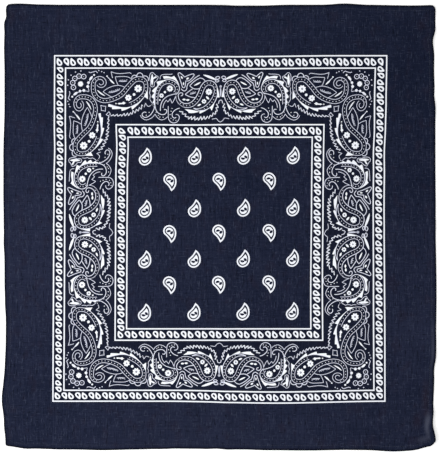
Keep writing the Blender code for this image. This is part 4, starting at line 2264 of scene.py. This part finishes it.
@dataclass
class FieldDrops:
    """The drops scattered over the middle of the cloth, rows of four and three by turns.

    Attributes:
        white: where the ink goes.
        clear: where the marks left clear of ink in each drop go.
        upright_x: places of the upright drops across the print.
        upright_y: places of their rows along it.
        turned_x: the same for the drops that are flipped over.
        turned_y: the same for their rows.
        climb: how much a row climbs to the right, as a slope.
        point: size of a chart point in a drop, in millimetres.
    """

    white: InkSheet
    clear: InkSheet
    upright_x: tuple[float, ...] = (-93.9, -31.8, 29.8, 92.0)
    upright_y: tuple[float, ...] = (88.7, 23.3, -40.2, -106.8)
    turned_x: tuple[float, ...] = (-62.7, -1.0, 62.1)
    turned_y: tuple[float, ...] = (57.6, -7.3, -71.6)
    climb: float = 0.0095
    point: float = 1.254

    def draw(self) -> None:
        """Draws every drop, in rows that climb a little to the right."""
        spots = [(x, y, 1.0) for y in self.upright_y for x in self.upright_x]
        spots += [(x, y, -1.0) for y in self.turned_y for x in self.turned_x]
        for x, y, way in spots:
            self.drop(np.array([x, y + self.climb * x]), way)

    def drop(self, centre: Points, way: float) -> None:
        """Draws one drop.

        Args:
            centre: its middle.
            way: 1 if it is upright, -1 if it is flipped over.
        """
        size = np.array([1.0, way]) * self.point
        ring = drawn(
            (1.3, 8.6), (5.55, -0.3, -56), (-0.7, -7.65, -88), (-6.1, -2.4, -90),
            (-4.3, 1.1, -52), (1.3, 8.6, 30), spacing=0.9,
        )[:-1]
        heart = drawn(
            (1.7, 4.7), (3.6, -0.4, -50), (-0.6, -5.7, -90), (-4.15, -2.4, -90),
            (-3.0, -0.2, -52), (1.7, 4.7, 20), spacing=0.9,
        )[:-1]
        self.white.ribbon(ring * size + centre, 1.8, closed=True)
        tip = drawn((1.4, 9.6), (0.9, 6.8, 0)) * size + centre
        self.white.taper(tip, 1.5)
        self.white.fill(heart * size + centre, np.array([0.0, -1.4]) * size + centre)
        slant = drawn((0.2, 0.5), (3.0, -2.2, -20), spacing=0.4) * size + centre
        smile = drawn((-3.2, -1.3), (1.0, -2.0, 80), spacing=0.4) * size + centre
        self.clear.taper(slant, 3.2)
        self.clear.taper(smile, 2.7)


# ---------------------------------------------------------------- the whole and its studio


@dataclass
class Bandana:
    """The whole bandana: its cotton, its edges, its stitching and its print.

    Attributes:
        form: the laid form.
        clear_height: height over the cloth of the marks left clear of ink in the drops.
    """

    form: ClothForm = field(default_factory=ClothForm)
    clear_height: float = 0.00016

    def build(self) -> list[bpy.types.Object]:
        """Makes and dresses every piece, and hides the model's parts that they stand in for.

        Returns:
            The pieces.
        """
        cotton = DyedCotton().build()
        thread = SewingThread().build()
        panel = self.dress(CottonPanel(self.form).build(), cotton)
        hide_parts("panel")
        edges = []
        for edge in Edge:
            piece = self.dress(RolledEdge(self.form, edge).build(), cotton)
            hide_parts("hem_" + edge.name.lower())
            edges.append(piece)
        stitching = self.dress(HemStitching(self.form).build(), thread)
        prints = self.draw_print(cotton)
        turned_under = 2 * self.form.hem_depth
        self.form.width + turned_under
        return [panel, *edges, stitching, *prints]

    def draw_print(self, cotton: bpy.types.Material) -> list[bpy.types.Object]:
        """Draws the print and makes its pieces.

        Args:
            cotton: the cotton, which shows in the marks left clear.

        Returns:
            The pieces.
        """
        ink = WhiteInk().build()
        frames = InkSheet("print_chain_frames", self.form)
        ChainBand(frames, OUTER_LINE, OUTER_INSIDE, OUTER_RUNS).draw()
        ChainBand(frames, INNER_LINE, INNER_INSIDE, INNER_RUNS).draw()
        border = InkSheet("print_paisley_border", self.form)
        PaisleyBorder(border).draw()
        drops = InkSheet("print_field_drops", self.form)
        clear = InkSheet("print_field_drop_marks", self.form, base=self.clear_height)
        FieldDrops(drops, clear).draw()
        made = [self.dress(s.build(), ink) for s in (frames, border, drops)]
        made.append(self.dress(clear.build(), cotton))
        return made

    def dress(
        self, obj: bpy.types.Object, material: bpy.types.Material
    ) -> bpy.types.Object:
        """Gives a piece its finish, puts it on the cloth's body and reports it.

        Args:
            obj: the piece.
            material: its finish.

        Returns:
            The piece.
        """
        obj.data.materials.append(material)
        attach(obj, "root")
        LOG.info("%s: %d faces", obj.name, len(obj.data.polygons))
        return obj


Place = tuple[float, float, float]


@dataclass(frozen=True)
class SoftLight:
    """A square soft light: its name, where it hangs and faces, its side and its power in watts."""

    name: str
    place: Place
    aim: Place
    size: float
    power: float


@dataclass
class Studio:
    """The table, the lights and the camera straight over the cloth.

    Attributes:
        centre: the place on the table under the picture's middle.
        view_width: width of cloth and table seen across the picture.
        picture: the picture's size in pixels.
        lens: focal length in millimetres.
        sensor: width of the camera's sensor in millimetres.
        cloth_height: height of the cloth's face, where the view has that width.
        table_half: half the side of the table.
        room_light: strength of the soft light from all round.
        lights: the lights hung over the table.
    """

    centre: tuple[float, float]
    view_width: float = 0.5518
    picture: tuple[int, int] = (440, 452)
    lens: float = 100.0
    sensor: float = 36.0
    cloth_height: float = 0.002
    table_half: float = 4.0
    room_light: float = 0.68
    lights: tuple[SoftLight, ...] = (
        SoftLight("key", (-1.10, -0.45, 0.95), (-0.10, -0.05, 0.0), 1.1, 14.0),
        SoftLight("overhead", (0.0, 0.0, 1.9), (0.0, 0.0, 0.0), 2.2, 12.6),
    )

    def build(self) -> None:
        """Sets up the table, the lights, the camera and the colour handling."""
        self.table()
        self.world()
        for light in self.lights:
            self.hang(light)
        self.camera()
        scene = bpy.context.scene
        scene.view_settings.view_transform = "Standard"
        scene.view_settings.look = "None"
        scene.view_settings.exposure = 0.0
        scene.view_settings.gamma = 1.0

    def table(self) -> None:
        """Makes the table top, a large flat square."""
        half = self.table_half
        corners = [(-half, -half, 0.0), (half, -half, 0.0), (half, half, 0.0), (-half, half, 0.0)]
        mesh = bpy.data.meshes.new("table")
        mesh.from_pydata(corners, [], [(0, 1, 2, 3)])
        mesh.materials.append(TableTop().build())
        table = bpy.data.objects.new("table", mesh)
        bpy.context.scene.collection.objects.link(table)
        table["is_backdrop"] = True

    def world(self) -> None:
        """Sets a plain soft light from all round."""
        world = bpy.data.worlds.new("studio")
        world.use_nodes = True
        background = world.node_tree.nodes["Background"]
        background.inputs["Color"].default_value = (1.0, 1.0, 1.0, 1.0)
        background.inputs["Strength"].default_value = self.room_light
        bpy.context.scene.world = world

    def hang(self, light: SoftLight) -> None:
        """Hangs a light, turned to face its aim: down by one angle, and round by another.

        Args:
            light: the light.
        """
        data = bpy.data.lights.new(light.name, "AREA")
        data.size = light.size
        data.energy = light.power
        lamp = bpy.data.objects.new(light.name, data)
        lamp.location = light.place
        x, y, z = np.array(light.aim) - np.array(light.place)
        lamp.rotation_euler = (math.atan2(math.hypot(x, y), -z), 0.0, math.atan2(-x, y))
        bpy.context.scene.collection.objects.link(lamp)

    def camera(self) -> None:
        """Hangs the camera straight over the cloth, far enough to see the whole width."""
        data = bpy.data.cameras.new("camera")
        data.lens = self.lens
        data.sensor_width = self.sensor
        long_side = self.view_width * max(self.picture) / self.picture[0]
        height = long_side / 2 * self.lens / (self.sensor / 2)
        camera = bpy.data.objects.new("camera", data)
        camera.location = (*self.centre, height + self.cloth_height)
        data.clip_start = 0.05
        data.clip_end = 20.0
        bpy.context.scene.collection.objects.link(camera)
        bpy.context.scene.camera = camera


# How far the picture's middle lies from the middle of the cloth's pattern
VIEW_OFF = (0.00006, 0.00144)


def plain(box: tuple) -> list[list[float]]:
    """Returns a box's two corners as plain lists."""
    return [[float(v) for v in corner] for corner in box]


def main() -> None:
    """Builds the bandana and its studio."""
    logging.basicConfig(level=logging.INFO, format="%(message)s")
    bandana = Bandana()
    bandana.build()
    shift = bandana.form.shift
    Studio(centre=(VIEW_OFF[0] + shift[0], VIEW_OFF[1] + shift[1])).build()
    sizes = {"start": plain(BOUNDS_AT_START), "end": plain(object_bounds())}
    LOG.info("box: %s", sizes["end"])


if __name__ == "__main__":
    main()
